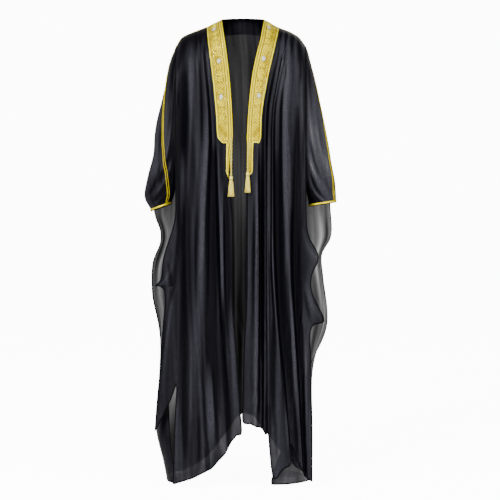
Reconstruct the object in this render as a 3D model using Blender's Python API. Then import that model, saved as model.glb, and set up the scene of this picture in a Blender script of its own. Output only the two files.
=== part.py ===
"""An open-front ceremonial cloak in sheer black cloth, with gold bands, braid and tassels.

It keeps its worn, hollow form. The origin is the middle of the neck at shoulder height,
+Z is up and the fronts face -Y. Left and right are the viewer's. Sizes are in metres,
and in mm where a table says so.
"""
import math

import bmesh
import bpy
import numpy as np
from mathutils import Matrix, Vector
from mathutils.bvhtree import BVHTree

MM = 0.001

# Cloth, trims and the gaps between them
WALL = 1.2 * MM
GAP = 0.3 * MM
BAND_THICKNESS = 1.4 * MM
BRAID_RADIUS = 3.4 * MM
CUFF_RADIUS = 4.2 * MM
CORD_RADIUS = 2.8 * MM

# The hollow body
SEAM_PLANE = 0.010
ARMHOLE = 0.214
CUFF_LEVEL = -0.645
SHOULDER_DROP = 0.120
NECK_LEFT = -0.064
NECK_RIGHT = 0.077
NECK_DEPTH = 0.062
NECK_RISE = 0.012

# Heights at which the fold tables give places and depths
GATHERS = -0.150
CHEST = -0.368
HIP = -0.760
KNEE = -1.248
EVEN_ABOVE = -0.900
LOWEST_HEM = -1.530

# Shoulder seam: distance from the middle, height
SEAM_LEFT = ((-0.214, -0.080), (-0.195, -0.053), (-0.155, -0.035), (-0.113, -0.019), (-0.064, 0.005))
SEAM_RIGHT = ((0.077, 0.005), (0.126, -0.021), (0.164, -0.036), (0.192, -0.053), (0.214, -0.082))

# Plan of the body: height, front middle, front at the armhole, back at the armhole, back middle
BODY = (
    (0.010, -0.100, -0.062, 0.076, 0.100),
    (-0.200, -0.122, -0.080, 0.096, 0.130),
    (-0.370, -0.130, -0.084, 0.102, 0.138),
    (-0.640, -0.133, -0.084, 0.104, 0.142),
    (-0.900, -0.140, -0.092, 0.110, 0.152),
    (-1.250, -0.152, -0.112, 0.124, 0.176),
    (-1.540, -0.166, -0.132, 0.138, 0.200),
)
ROUNDNESS = 2.4

# Fold lines in mm, a row for each ridge or valley: cells up to the next line, distance from the
# middle at seam, chest, hip and knee, how far it stands out at gathers, chest, hip and knee,
# and how low the hem hangs there
FRONT_LEFT = (
    (1, -64, -26, -27, -3, 0, 0, 0, 0, 1355),
    (2, -81, -47, -47, -18, 0, 0, 1, 3, 1362),
    (2, -113, -77, -63, -36, 0, 1, 8, 5, 1380),
    (3, -123, -92, -80, -60, -2, -6, -10, -10, 1426),
    (3, -136, -108, -130, -106, 4, 8, 10, 9, 1470),
    (2, -150, -140, -160, -133, -3, -3, -4, -5, 1486),
    (3, -166, -169, -180, -164, 4, 6, 3, 7, 1503),
    (4, -188, -200, -196, -213, -1, -9, -9, -7, 1530),
    (0, -214, -214, -252, -277, 0, 0, 0, 0, 1361),
)
FRONT_RIGHT = (
    (1, 77, 22, 20, 9, 0, 0, 0, 0, 1319),
    (1, 94, 42, 33, 28, 0, 0, 0, 1, 1326),
    (2, 104, 54, 51, 47, 0, 0, 9, 8, 1333),
    (2, 126, 66, 64, 66, 0, -2, -10, -8, 1340),
    (2, 136, 79, 79, 77, 4, 6, 7, 4, 1352),
    (1, 146, 90, 86, 90, -4, -6, -8, -7, 1369),
    (2, 153, 97, 94, 101, -2, -4, -5, -1, 1497),
    (2, 158, 104, 104, 143, 3, 2, 6, 10, 1462),
    (3, 163, 114, 118, 153, -3, -7, -9, -6, 1397),
    (3, 177, 141, 154, 186, 4, 10, 11, 11, 1480),
    (2, 191, 180, 177, 198, -3, -8, -9, -4, 1500),
    (2, 205, 201, 200, 214, 2, -6, 5, 7, 1512),
    (0, 214, 214, 240, 231, 0, 0, 0, 0, 1520),
)
BACK = (
    (2, -214, -214, -214, -222, 0, 0, 0, 0, 1530),
    (2, -190, -192, -190, -197, 2, 6, 8, 10, 1530),
    (2, -165, -166, -160, -165, -2, -7, -10, -12, 1515),
    (1, -140, -138, -132, -130, 3, 6, 9, 14, 1494),
    (2, -113, -108, -104, -102, 0, -5, -9, -10, 1462),
    (2, -90, -80, -76, -72, 0, 3, 8, 12, 1425),
    (2, -64, -52, -48, -44, 0, -4, -8, -10, 1385),
    (2, -35, -25, -20, -18, 0, 3, 6, 9, 1350),
    (2, 6, 6, 8, 10, 0, -5, -8, -12, 1332),
    (2, 45, 35, 38, 42, 0, 4, 8, 12, 1345),
    (2, 77, 62, 64, 68, 0, -3, -7, -10, 1378),
    (2, 103, 92, 96, 100, 0, 5, 9, 12, 1420),
    (1, 126, 120, 124, 130, 0, -6, -9, -12, 1458),
    (2, 150, 148, 152, 158, 3, 6, 8, 12, 1492),
    (2, 175, 174, 178, 184, -2, -6, -9, -10, 1515),
    (2, 195, 194, 198, 205, 2, 5, 7, 9, 1530),
    (0, 214, 214, 214, 222, 0, 0, 0, 0, 1530),
)

# Edges of the fronts: height, distance from the middle
OPENING_LEFT = (
    (0.005, -0.064), (-0.177, -0.039), (-0.302, -0.029), (-0.391, -0.026), (-0.412, -0.030),
    (-0.470, -0.037), (-0.530, -0.040), (-0.600, -0.034), (-0.690, -0.027), (-0.900, -0.028),
    (-1.120, -0.013), (-1.355, 0.002),
)
OPENING_RIGHT = (
    (0.005, 0.077), (-0.080, 0.062), (-0.155, 0.043), (-0.280, 0.027), (-0.395, 0.020),
    (-0.530, 0.021), (-0.900, 0.020), (-1.090, 0.011), (-1.319, 0.007),
)
SIDE_LEFT = (
    (-0.080, -0.214), (-0.645, -0.214), (-0.680, -0.220), (-0.729, -0.236), (-0.763, -0.252),
    (-0.862, -0.266), (-0.882, -0.283), (-0.899, -0.252), (-0.995, -0.256), (-1.095, -0.262),
    (-1.261, -0.277), (-1.361, -0.284),
)
SIDE_RIGHT = (
    (-0.080, 0.214), (-0.646, 0.214), (-0.713, 0.219), (-0.746, 0.239), (-0.786, 0.256),
    (-0.846, 0.233), (-0.929, 0.243), (-0.999, 0.276), (-1.015, 0.229), (-1.145, 0.228),
    (-1.261, 0.231), (-1.394, 0.234), (-1.520, 0.234),
)

# Rows of points below the shoulder, as heights; the first ones hold the steps of the bands
UPPER_ROWS = (-0.320, -0.391, -0.411, -0.458, -0.508, -0.530, -0.600, -0.662)
LEFT_ROWS = UPPER_ROWS + (-0.729, -0.796, -0.862, -0.882, -0.899, -0.975, -1.055, -1.135, -1.205,
                          -1.290, -1.370, -1.450, -1.530)
RIGHT_ROWS = UPPER_ROWS + (-0.726, -0.786, -0.846, -0.925, -0.999, -1.015, -1.100, -1.190, -1.280,
                           -1.370, -1.450, -1.530)
BACK_ROWS = (-0.320, -0.375, -0.430, -0.500, -0.570, -0.645, -0.710, -0.784, -0.848, -0.930,
             -1.010, -1.090, -1.180, -1.270, -1.360, -1.450, -1.530)
SHOULDER_CELLS = 5
CHEST_CELLS = 3
FIRST_ROW = SHOULDER_CELLS + CHEST_CELLS
BAND_STEP_ROW = FIRST_ROW + UPPER_ROWS.index(-0.391)
BAND_TIP_ROW = FIRST_ROW + UPPER_ROWS.index(-0.530)
FLAP_HEIGHT = -1.205
FLAP_CELLS = 4

# Side parts of the back that hang from the cuffs: height, outermost, free edge across and
# front to back
WING_LEFT = (
    (-0.600, -0.286, -0.292, 0.038), (-0.645, -0.284, -0.290, 0.034), (-0.710, -0.265, -0.270, 0.010),
    (-0.745, -0.266, -0.272, -0.015), (-0.784, -0.283, -0.288, -0.045), (-0.848, -0.292, -0.296, -0.065),
    (-0.930, -0.286, -0.290, -0.075), (-0.990, -0.271, -0.274, -0.075), (-1.050, -0.270, -0.271, -0.062),
    (-1.110, -0.273, -0.262, -0.042), (-1.180, -0.277, -0.249, -0.050), (-1.270, -0.284, -0.242, -0.060),
    (-1.368, -0.289, -0.236, -0.080), (-1.452, -0.268, -0.228, -0.092), (-1.530, -0.252, -0.210, -0.100),
)
WING_RIGHT = (
    (-0.600, 0.294, 0.300, 0.038), (-0.645, 0.296, 0.302, 0.034), (-0.690, 0.300, 0.305, 0.010),
    (-0.740, 0.290, 0.294, -0.015), (-0.784, 0.264, 0.268, -0.035), (-0.848, 0.268, 0.272, -0.060),
    (-0.930, 0.279, 0.283, -0.072), (-0.992, 0.287, 0.290, -0.075), (-1.032, 0.272, 0.274, -0.075),
    (-1.100, 0.254, 0.252, -0.068), (-1.180, 0.241, 0.214, -0.076), (-1.270, 0.240, 0.202, -0.084),
    (-1.402, 0.243, 0.146, -0.110), (-1.470, 0.242, 0.114, -0.120), (-1.530, 0.240, 0.098, -0.126),
)
WING_CELLS = 9
WING_FLARE = 0.016
WING_TOP = -0.430
WING_JOIN = -0.930
WING_SIDE = 0.020
# Where the top edge of a side part lies on its sleeve: height, degrees round the sleeve
WING_HANG = ((-0.448, 285), (-0.490, 277), (-0.528, 266), (-0.556, 254), (-0.574, 244), (-0.584, 235))
WING_CLEARANCE = 7 * MM

# Sleeve sections: height, middle across, half width, degrees from the inner side to the edge of
# its opening, drop at the outer side, degrees to the braid
SLEEVE_LEFT = (
    (-0.0822, 0.214, 0.0013, 90, 0.000, 178),
    (-0.092, 0.214, 0.005, 90, 0.000, 176),
    (-0.106, 0.214, 0.0105, 90, 0.000, 174),
    (-0.125, 0.215, 0.017, 87, 0.000, 170),
    (-0.160, 0.217, 0.025, 83, 0.000, 162),
    (-0.205, 0.219, 0.033, 81, 0.002, 148),
    (-0.260, 0.223, 0.042, 78, 0.004, 135),
    (-0.320, 0.228, 0.053, 75, 0.006, 121),
    (-0.380, 0.232, 0.059, 72, 0.010, 115),
    (-0.430, 0.233, 0.061, 72, 0.012, 110),
    (-0.480, 0.238, 0.070, 71, 0.016, 99),
    (-0.525, 0.245, 0.075, 68, 0.021, 88),
    (-0.555, 0.254, 0.0695, 62, 0.024, 79),
    (-0.578, 0.262, 0.053, 47, 0.026, 66),
    (-0.595, 0.267, 0.036, 10, 0.032, 28),
)
SLEEVE_RIGHT = (
    (-0.0842, 0.214, 0.0013, 90, 0.000, 178),
    (-0.094, 0.214, 0.005, 90, 0.000, 172),
    (-0.108, 0.214, 0.0095, 90, 0.000, 168),
    (-0.127, 0.2145, 0.0135, 88, 0.000, 164),
    (-0.160, 0.216, 0.021, 84, 0.000, 156),
    (-0.205, 0.219, 0.031, 81, 0.000, 150),
    (-0.260, 0.223, 0.040, 77, 0.000, 150),
    (-0.320, 0.227, 0.049, 75, 0.000, 152),
    (-0.380, 0.231, 0.057, 73, 0.000, 149),
    (-0.430, 0.234, 0.063, 72, 0.000, 148),
    (-0.480, 0.237, 0.068, 71, 0.000, 151),
    (-0.525, 0.243, 0.0705, 68, 0.000, 151),
    (-0.560, 0.2505, 0.066, 62, -0.004, 147),
    (-0.592, 0.262, 0.056, 47, -0.010, 146),
    (-0.612, 0.272, 0.047, 10, -0.014, 158),
)
FRONT_CELLS_LEFT = 6
BACK_CELLS_LEFT = 10
FRONT_CELLS_RIGHT = 9
BACK_CELLS_RIGHT = 7
CUFF_HALF_DEPTH = 0.043
CUFF_MIDDLE = -0.010
SLEEVE_REACH = 0.090
ARMHOLE_END = -0.430

# Braid on the shoulder: how far outside the band it starts, points to the tip
BRAID_START = 6 * MM
BRAID_LIFT = BRAID_RADIUS + 1.2 * MM
BRAID_CELLS = 10

# Band round the back of the neck: column of the back's points, last row below the neckline
NECK_BAND = ((7, 0), (8, 1), (9, 2), (10, 3), (11, 3), (12, 3), (13, 3), (14, 3), (15, 3), (16, 3),
             (17, 3), (18, 3), (19, 3), (20, 3), (21, 2), (22, 1), (23, 0))
BROAD_LEFT = 3
BROAD_RIGHT = 4

# Medallions: their sizes, then their places across and in height
MEDALLION_HALF_WIDTH = 6.5 * MM
MEDALLION_HALF_LENGTH = 9.0 * MM
MEDALLION_RISE = 1.2 * MM
MEDALLION_SEAT = GAP + BAND_THICKNESS + 0.5 * MM
MEDALLION_SIDES = 12
MEDALLION_RINGS = 4
MEDALLION_PROBE = 10 * MM
MEDALLIONS_LEFT = ((-0.088, -0.037), (-0.072, -0.144), (-0.064, -0.262))
MEDALLIONS_RIGHT = ((0.091, -0.030), (0.074, -0.136), (0.059, -0.257))
MEDALLION_NECK = (0.006, -0.018)

# Cords at the foot of the broad bands: across, front to back, height
CORD_LEFT = ((-0.0305, -0.1347, -0.393), (-0.0307, -0.1362, -0.425), (-0.0312, -0.1390, -0.470),
             (-0.0316, -0.1434, -0.519))
CORD_RIGHT = ((0.0240, -0.1349, -0.405), (0.0236, -0.1364, -0.435), (0.0230, -0.1392, -0.470),
              (0.0226, -0.1434, -0.506))
CORD_CELLS = 9
ROUND_STEPS = 2

# Tassels: an egg-shaped head, then strands in rings of so many, with a share of the spread
TASSEL_LENGTH = 68 * MM
HEAD_RADIUS = 6.5 * MM
HEAD_HALF_HEIGHT = 7.0 * MM
HEAD_SIDES = 12
HEAD_RINGS = 8
SPREAD_LEFT = 11.0 * MM
SPREAD_RIGHT = 9.5 * MM
STRAND_RINGS = ((1, 0.0), (7, 0.5), (16, 1.0))
STRAND_ROOTS = 4.7 * MM
STRAND_RADII = (0.75 * MM, 0.95 * MM, 1.1 * MM)
STRAND_UNEVEN = 3.0 * MM
STRAND_SEED = 2.4
STRAND_MIDDLE = 0.45
MIDDLE_SPREAD = 0.75
TASSEL_FLATNESS = 0.62

# Colours: red, green, blue, roughness, metallic
CLOTH = (0.018, 0.017, 0.022, 0.70, 0.0)
GOLD = (0.62, 0.44, 0.10, 0.42, 0.35)
SILVER = (0.70, 0.70, 0.68, 0.35, 0.55)


def column(table, index):
    """One named column of a table."""
    return [row[index] for row in table]


def smooth_through(places, values, at):
    """Read a smooth curve that never overshoots its table, and runs straight past the ends."""
    places = np.asarray(places, float)
    values = np.asarray(values, float)
    if places[0] > places[-1]:
        places, values = places[::-1], values[::-1]
    steps = np.diff(places)
    rises = np.diff(values) / steps
    slopes = np.zeros(len(places))
    slopes[0], slopes[-1] = rises[0], rises[-1]
    for i in range(1, len(places) - 1):
        if rises[i - 1] * rises[i] > 0:
            slopes[i] = 2 * rises[i - 1] * rises[i] / (rises[i - 1] + rises[i])
    if at <= places[0]:
        return float(values[0] + slopes[0] * (at - places[0]))
    if at >= places[-1]:
        return float(values[-1] + slopes[-1] * (at - places[-1]))
    i = max(0, int(np.searchsorted(places, at)) - 1)
    step = steps[i]
    t = (at - places[i]) / step
    return float((1 + 2 * t) * (1 - t) ** 2 * values[i] + t * (1 - t) ** 2 * step * slopes[i]
                 + t * t * (3 - 2 * t) * values[i + 1] + t * t * (t - 1) * step * slopes[i + 1])


def straight_through(table, height):
    """Read an edge whose corners stay sharp, straight between the rows of its table."""
    return float(np.interp(height, column(table, 0)[::-1], column(table, 1)[::-1]))


def body_depth(index, height):
    """One column of the body's plan, at a height."""
    return smooth_through(column(BODY, 0), column(BODY, index), height)


def front_depth(across, height):
    """Front of the hollow body, without folds."""
    middle = body_depth(1, height)
    return middle + (body_depth(2, height) - middle) * (abs(across) / ARMHOLE) ** ROUNDNESS


def back_depth(across, height):
    """Back of the hollow body, without folds."""
    middle = body_depth(4, height)
    return middle + (body_depth(3, height) - middle) * (abs(across) / ARMHOLE) ** ROUNDNESS


def neck_bow(across):
    """How far round the back of the neck: 0 at the shoulder seams, 1 in the middle."""
    middle = (NECK_LEFT + NECK_RIGHT) / 2
    half = (NECK_RIGHT - NECK_LEFT) / 2
    return math.sqrt(max(0.0, 1 - ((across - middle) / half) ** 2))


def seam_height(across):
    """Height of the shoulder seam, and of the neckline between its two halves."""
    if across <= NECK_LEFT:
        return smooth_through(column(SEAM_LEFT, 0), column(SEAM_LEFT, 1), across)
    if across >= NECK_RIGHT:
        return smooth_through(column(SEAM_RIGHT, 0), column(SEAM_RIGHT, 1), across)
    return SEAM_RIGHT[0][1] + NECK_RISE * neck_bow(across)


def shoulder_round(below):
    """Quarter round from the seam, 0, to the upright cloth, 1."""
    part = min(1.0, max(0.0, below / SHOULDER_DROP))
    return math.sqrt(1 - (1 - part) ** 2)


class Sheet:
    """The outer skin of one piece of cloth: points on a grid, and those that lie on a seam."""

    def __init__(self, lean=None):
        self.points = []
        self.faces = []
        self.grid = {}
        self.flat = {}
        self.lean = lean

    def add(self, row, col, point, flat=()):
        """Add a point; flat names the axes across which its wall must not tilt."""
        self.grid[row, col] = len(self.points)
        self.flat[len(self.points)] = tuple(flat)
        self.points.append(tuple(point))

    def close(self, turned=False):
        """Two triangles for each cell whose four corners are there."""
        for (row, col), a in self.grid.items():
            b = self.grid.get((row, col + 1))
            c = self.grid.get((row + 1, col + 1))
            d = self.grid.get((row + 1, col))
            if None in (b, c, d):
                continue
            pair = ((a, b, d), (b, c, d))
            if self.lean is not None and col < self.lean:
                pair = ((a, b, c), (a, c, d))
            self.faces += [triangle[::-1] for triangle in pair] if turned else pair

    def normals(self):
        """A unit normal for each point, kept in the plane of a seam where it lies on one."""
        points = np.array(self.points)
        faces = np.array(self.faces)
        first = points[faces[:, 1]] - points[faces[:, 0]]
        second = points[faces[:, 2]] - points[faces[:, 0]]
        of_faces = np.cross(first, second)
        normals = np.zeros_like(points)
        for corner in range(3):
            np.add.at(normals, faces[:, corner], of_faces)
        for index, axes in self.flat.items():
            for axis in axes:
                normals[index, axis] = 0.0
        lengths = np.linalg.norm(normals, axis=1)
        lengths[lengths == 0] = 1.0
        return normals / lengths[:, None]


class Panel:
    """A front or the back: its fold lines, its two edges and the heights of its rows."""

    def __init__(self, lines, rows, opening=None, side_edge=None):
        self.lines = lines
        self.rows = rows
        self.opening = opening
        self.side_edge = side_edge
        self.is_back = opening is None
        self.columns = [(i, k / line[0]) for i, line in enumerate(lines) for k in range(line[0])]
        self.columns.append((len(lines) - 1, 0.0))

    def line_across(self, index, height):
        """Distance of a fold line from the middle."""
        if index == 0 and self.opening:
            return smooth_through(column(self.opening, 0), column(self.opening, 1), height)
        if index == len(self.lines) - 1 and self.side_edge:
            return straight_through(self.side_edge, height)
        line = self.lines[index]
        heights = (seam_height(line[1] * MM), CHEST, HIP, KNEE)
        return smooth_through(heights, [value * MM for value in line[1:5]], height)

    def line_out(self, index, height):
        """How far a fold line stands out."""
        line = self.lines[index]
        top = seam_height(line[1] * MM)
        heights = (top, GATHERS, CHEST, HIP, KNEE, LOWEST_HEM)
        values = [0.0] + [value * MM for value in line[5:9]] + [line[8] * MM]
        return smooth_through(heights, values, max(LOWEST_HEM, min(top, height)))

    def between(self, col, first, second, eased=False):
        """A value on a column, between those of the fold lines beside it."""
        share = self.columns[col][1]
        if eased:
            share = (1 - math.cos(math.pi * share)) / 2
        return first + (second - first) * share

    def point(self, col, height):
        """The place of a column at a height."""
        index = self.columns[col][0]
        after = min(index + 1, len(self.lines) - 1)
        across = self.between(col, self.line_across(index, height), self.line_across(after, height))
        out = self.between(col, self.line_out(index, height), self.line_out(after, height), True)
        rim = SEAM_PLANE + (NECK_DEPTH * neck_bow(across) if self.is_back else 0.0)
        depth = back_depth(across, height) if self.is_back else front_depth(across, height)
        depth = rim + (depth - rim) * shoulder_round(seam_height(across) - height)
        return across, depth + (out if self.is_back else -out), height

    def heights(self, col, hem=None):
        """Heights of a column's points: seam, round shoulder, then the table's rows to the hem."""
        line = self.lines[self.columns[col][0]]
        after = self.lines[min(self.columns[col][0] + 1, len(self.lines) - 1)]
        top = seam_height(self.between(col, line[1], after[1]) * MM)
        if hem is None:
            hem = -self.between(col, line[9], after[9]) * MM
        turns = [math.radians(90 * k / SHOULDER_CELLS) for k in range(SHOULDER_CELLS)]
        heights = [top - SHOULDER_DROP * (1 - math.cos(turn)) for turn in turns]
        dropped = top - SHOULDER_DROP
        heights += [dropped + (self.rows[0] - dropped) * k / CHEST_CELLS for k in range(CHEST_CELLS)]
        scale = (hem - EVEN_ABOVE) / (LOWEST_HEM - EVEN_ABOVE)
        heights += [h if h > EVEN_ABOVE else EVEN_ABOVE + (h - EVEN_ABOVE) * scale for h in self.rows]
        return heights


def front_sheet(panel, side, flap_cells=0):
    """The outer skin of one front. Its flap, beside the last fold line, ends above the hem."""
    sheet = Sheet()
    last = len(panel.columns) - 1
    flap_row = FIRST_ROW + panel.rows.index(FLAP_HEIGHT) if flap_cells else None
    for col in range(last + 1):
        beyond = col - (last - flap_cells)
        if flap_cells and beyond > 0:
            tip = -panel.lines[-1][9] * MM
            foot = FLAP_HEIGHT + (tip - FLAP_HEIGHT) * beyond / flap_cells
            hem = EVEN_ABOVE + (foot - EVEN_ABOVE) * (LOWEST_HEM - EVEN_ABOVE) / (FLAP_HEIGHT - EVEN_ABOVE)
            heights = panel.heights(col, hem)[:flap_row + 1]
        elif flap_cells and beyond == 0:
            heights = panel.heights(col, LOWEST_HEM)
        else:
            heights = panel.heights(col)
        for row, height in enumerate(heights):
            x, y, z = panel.point(col, height)
            flat = []
            if col == last and z > CUFF_LEVEL:
                x = side * (ARMHOLE - GAP / 2)
                flat.append(0)
            if row == 0:
                y = SEAM_PLANE - GAP / 2
                flat.append(1)
            sheet.add(row, col, (x, y, z), flat)
    sheet.close(turned=side > 0)
    return sheet


def back_sheet(panel, sleeves):
    """The outer skin of the back, with its two side parts."""
    sheet = Sheet(lean=len(panel.columns) // 2)
    last = len(panel.columns) - 1
    wing_row = FIRST_ROW + panel.rows.index(WING_TOP)
    for col in range(last + 1):
        for row, height in enumerate(panel.heights(col)):
            x, y, z = panel.point(col, height)
            flat = []
            if col in (0, last) and row <= wing_row:
                x = math.copysign(ARMHOLE - GAP / 2, x)
                flat.append(0)
            if row == 0:
                y += GAP / 2
                if not NECK_LEFT < x < NECK_RIGHT:
                    flat.append(1)
            sheet.add(row, col, (x, y, z), flat)
    for side, start, table, sleeve in ((-1, 0, WING_LEFT, sleeves[0]), (1, last, WING_RIGHT, sleeves[1])):
        add_wing(sheet, side, start, table, sleeve, wing_row, panel)
    sheet.close()
    return sheet


def add_wing(sheet, side, start, table, sleeve, wing_row, panel):
    """Add the side part that hangs from the armhole's foot and the back of the cuff."""
    top = panel.rows.index(WING_TOP)
    for k, (hang, turn) in enumerate(WING_HANG):
        x, y, z = sleeve_point(sleeve, side, hang, turn, WING_CLEARANCE)
        sheet.add(wing_row, start + side * (k + 1), (x, y, z))
        for row, main in enumerate(panel.rows[top + 1:], wing_row + 1):
            height = main
            if main > WING_JOIN:
                height = z + (WING_JOIN - z) * (main - WING_TOP) / (WING_JOIN - WING_TOP)
            sheet.add(row, start + side * (k + 1), wing_point(table, side, height, k))


def wing_point(table, side, height, k):
    """A point of a side part, from the back round the side to its free edge."""
    heights = column(table, 0)
    outermost, free_x, free_y = (smooth_through(heights, column(table, i), height) for i in (1, 2, 3))
    inner_x = side * (ARMHOLE + max(0.0, HIP - height) * WING_FLARE)
    inner_y = back_depth(inner_x, height)
    side_y = max(WING_SIDE, free_y + WALL)
    turns = np.linspace(0, math.pi / 2, WING_CELLS)
    path = [(inner_x + (outermost - inner_x) * math.sin(turn),
             side_y + (inner_y - side_y) * math.cos(turn)) for turn in turns]
    path += [(outermost + (free_x - outermost) * (1 - math.cos(turn)),
              side_y + (free_y - side_y) * math.sin(turn)) for turn in turns[1:]]
    lengths = np.cumsum([0.0] + [math.dist(a, b) for a, b in zip(path, path[1:])])
    place = lengths[-1] * (k + 1) / len(WING_HANG)
    return (float(np.interp(place, lengths, column(path, 0))),
            float(np.interp(place, lengths, column(path, 1))), height)


def sleeve_point(table, side, height, turn, out=0.0):
    """A point of a sleeve: turn is in degrees round it, from its inner side by the front."""
    heights = column(table, 0)
    middle, half, drop = (smooth_through(heights, column(table, i), height) for i in (1, 2, 4))
    round_off = shoulder_round(seam_height(side * ARMHOLE) - height)
    front = SEAM_PLANE + (body_depth(2, height) - SEAM_PLANE) * round_off
    back = SEAM_PLANE + (body_depth(3, height) - SEAM_PLANE) * round_off
    level = max(height, ARMHOLE_END)
    lean = (smooth_through(heights, column(table, 1), level) - ARMHOLE) / smooth_through(
        heights, column(table, 2), level)
    edge = math.sqrt(1 - lean ** 2)
    narrow = min(1.0, max(0.0, (ARMHOLE_END - height) / (ARMHOLE_END - heights[-1])))
    narrow = narrow * narrow * (3 - 2 * narrow)
    centre = (front + back) / 2 * (1 - narrow) + CUFF_MIDDLE * narrow
    deep = (back - front) / 2 / edge * (1 - narrow) + CUFF_HALF_DEPTH * narrow
    angle = math.radians(turn)
    across = middle - (half + out) * math.cos(angle)
    fall = drop * max(0.0, across - ARMHOLE) / SLEEVE_REACH
    return side * across, centre - (deep + out) * math.sin(angle), height - fall


def sleeve_sheet(table, side, front_cells, back_cells):
    """The outer skin of one sleeve, open towards the body and closing to the cuff at its foot."""
    sheet = Sheet()
    for row, (height, middle, half, opening, drop, braid) in enumerate(table):
        at_armhole = height >= ARMHOLE_END
        if at_armhole:
            opening = math.degrees(math.acos((middle - ARMHOLE) / half))
        turns = list(np.linspace(opening, braid, front_cells + 1))
        turns += list(np.linspace(braid, 360 - opening, back_cells + 1))[1:]
        for col, turn in enumerate(turns):
            x, y, z = sleeve_point(table, side, height, turn)
            flat = []
            if at_armhole and col in (0, len(turns) - 1):
                x = side * (ARMHOLE + GAP / 2)
                flat.append(0)
            elif row == 0:
                flat.append(0)
            sheet.add(row, col, (x, y, z), flat)
    sheet.close(turned=side > 0)
    return sheet


def material(name, finish):
    """A plain finish for one piece."""
    made = bpy.data.materials.new(name)
    made.use_nodes = True
    shader = made.node_tree.nodes["Principled BSDF"]
    shader.inputs["Base Color"].default_value = (*finish[:3], 1.0)
    shader.inputs["Roughness"].default_value = finish[3]
    shader.inputs["Metallic"].default_value = finish[4]
    return made


def finish_piece(name, data, finish):
    """Make an object of a mesh or a curve, with its own material, in the garment's collection."""
    piece = bpy.data.objects.new(name, data)
    data.materials.append(material(name, finish))
    bpy.data.collections["open_front_cloak"].objects.link(piece)
    return piece


def wall(name, points, faces, normals, inner, outer, finish):
    """Loft one closed wall between two skins.

    A Solidify modifier would tilt the rims at the seams, and neighbouring pieces would cross
    there, so rims and skins are made from the same normals.
    """
    points = np.array(points)
    skins = np.concatenate([points + normals * outer, points + normals * inner])
    count = len(points)
    triangles = [tuple(face) for face in faces]
    triangles += [tuple(index + count for index in face[::-1]) for face in faces]
    edges = {(face[k], face[(k + 1) % 3]) for face in faces for k in range(3)}
    for a, b in sorted(edges):
        if (b, a) not in edges:
            triangles += [(b, a, a + count), (b, a + count, b + count)]
    used = sorted({index for triangle in triangles for index in triangle})
    place = {index: k for k, index in enumerate(used)}
    mesh = bpy.data.meshes.new(name)
    mesh.from_pydata([tuple(skins[index]) for index in used], [],
                     [tuple(place[index] for index in triangle) for triangle in triangles])
    mesh.update()
    return finish_piece(name, mesh, finish)


def cloth_piece(name, sheet):
    """Give a skin its wall, inwards."""
    return wall(name, sheet.points, sheet.faces, sheet.normals(), -WALL, 0.0, CLOTH)


def band(name, sheet, blocks):
    """Lay a band on a panel: the triangles of its own points that lie in one block, moved out."""
    held = [{sheet.grid[cell] for cell in block} for block in blocks]
    faces = [face for face in sheet.faces if any(set(face) <= block for block in held)]
    return wall(name, sheet.points, faces, sheet.normals(), GAP, GAP + BAND_THICKNESS, GOLD)


def front_band_blocks(broad):
    """Points under a front band: broad, a rounded step, then narrow with a pointed end."""
    step = BAND_STEP_ROW
    upper = [(row, col) for row in range(step + 1) for col in range(broad + 1)]
    round_step = [(row, col) for row in (step, step + 1) for col in range(broad)] + [(step, broad)]
    narrow = [(row, col) for row in range(step + 1, BAND_TIP_ROW) for col in (0, 1)]
    return upper, round_step, narrow + [(BAND_TIP_ROW, 0)]


def neck_band_block():
    """Points under the band round the back of the neck, cut to a slant at both shoulders."""
    return [[(row, col) for col, last in NECK_BAND for row in range(last + 1)]]


def tube(name, points, radius, finish, closed=False):
    """A round cord along a line of points."""
    curve = bpy.data.curves.new(name, "CURVE")
    curve.dimensions = "3D"
    curve.bevel_depth = radius
    curve.bevel_resolution = ROUND_STEPS
    curve.use_fill_caps = not closed
    spline = curve.splines.new("POLY")
    spline.points.add(len(points) - 1)
    for place, point in zip(spline.points, points):
        place.co = (*point, 1.0)
    spline.use_cyclic_u = closed
    return finish_piece(name, curve, finish)


def evenly_along(line, cells):
    """Points at equal steps along a line."""
    lengths = np.cumsum([0.0] + [math.dist(a, b) for a, b in zip(line, line[1:])])
    places = np.linspace(0, lengths[-1], cells + 1)
    return [tuple(float(np.interp(place, lengths, column(line, axis))) for axis in range(3))
            for place in places]


def braid(name, side, seam, sheet, col):
    """Gold braid from the band along the shoulder seam and down a column of the sleeve."""
    _, beside_neck = sorted((abs(x), x) for x, _ in seam)[:2]
    outside = beside_neck[1]
    points = []
    for x in np.linspace(outside + side * BRAID_START, side * ARMHOLE, BRAID_CELLS):
        slope = (seam_height(x) - seam_height(x - side * BRAID_START)) / BRAID_START
        up = Vector((-side * slope, 0, 1)).normalized()
        points.append(Vector((x, SEAM_PLANE, seam_height(x))) + up * BRAID_LIFT)
    normals = sheet.normals()
    rows = max(row for row, _ in sheet.grid)
    for row in range(1, rows):
        index = sheet.grid[row, col]
        points.append(Vector(sheet.points[index]) + Vector(normals[index]) * BRAID_LIFT)
    return tube(name, points, BRAID_RADIUS, GOLD)


def cuff(name, sheet):
    """Gold binding under the edge of a sleeve's opening for the hand."""
    rows = max(row for row, _ in sheet.grid)
    cols = max(col for _, col in sheet.grid)
    normals = sheet.normals()
    ring = []
    for col in range(cols + 1):
        index = sheet.grid[rows, col]
        drop = Vector((0, 0, CUFF_RADIUS + 2 * GAP))
        ring.append(tuple(Vector(sheet.points[index]) - Vector(normals[index]) * (WALL / 2) - drop))
    ring.append(tuple((Vector(ring[0]) + Vector(ring[-1])) / 2))
    return tube(name, ring, CUFF_RADIUS, GOLD, closed=True)


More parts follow.
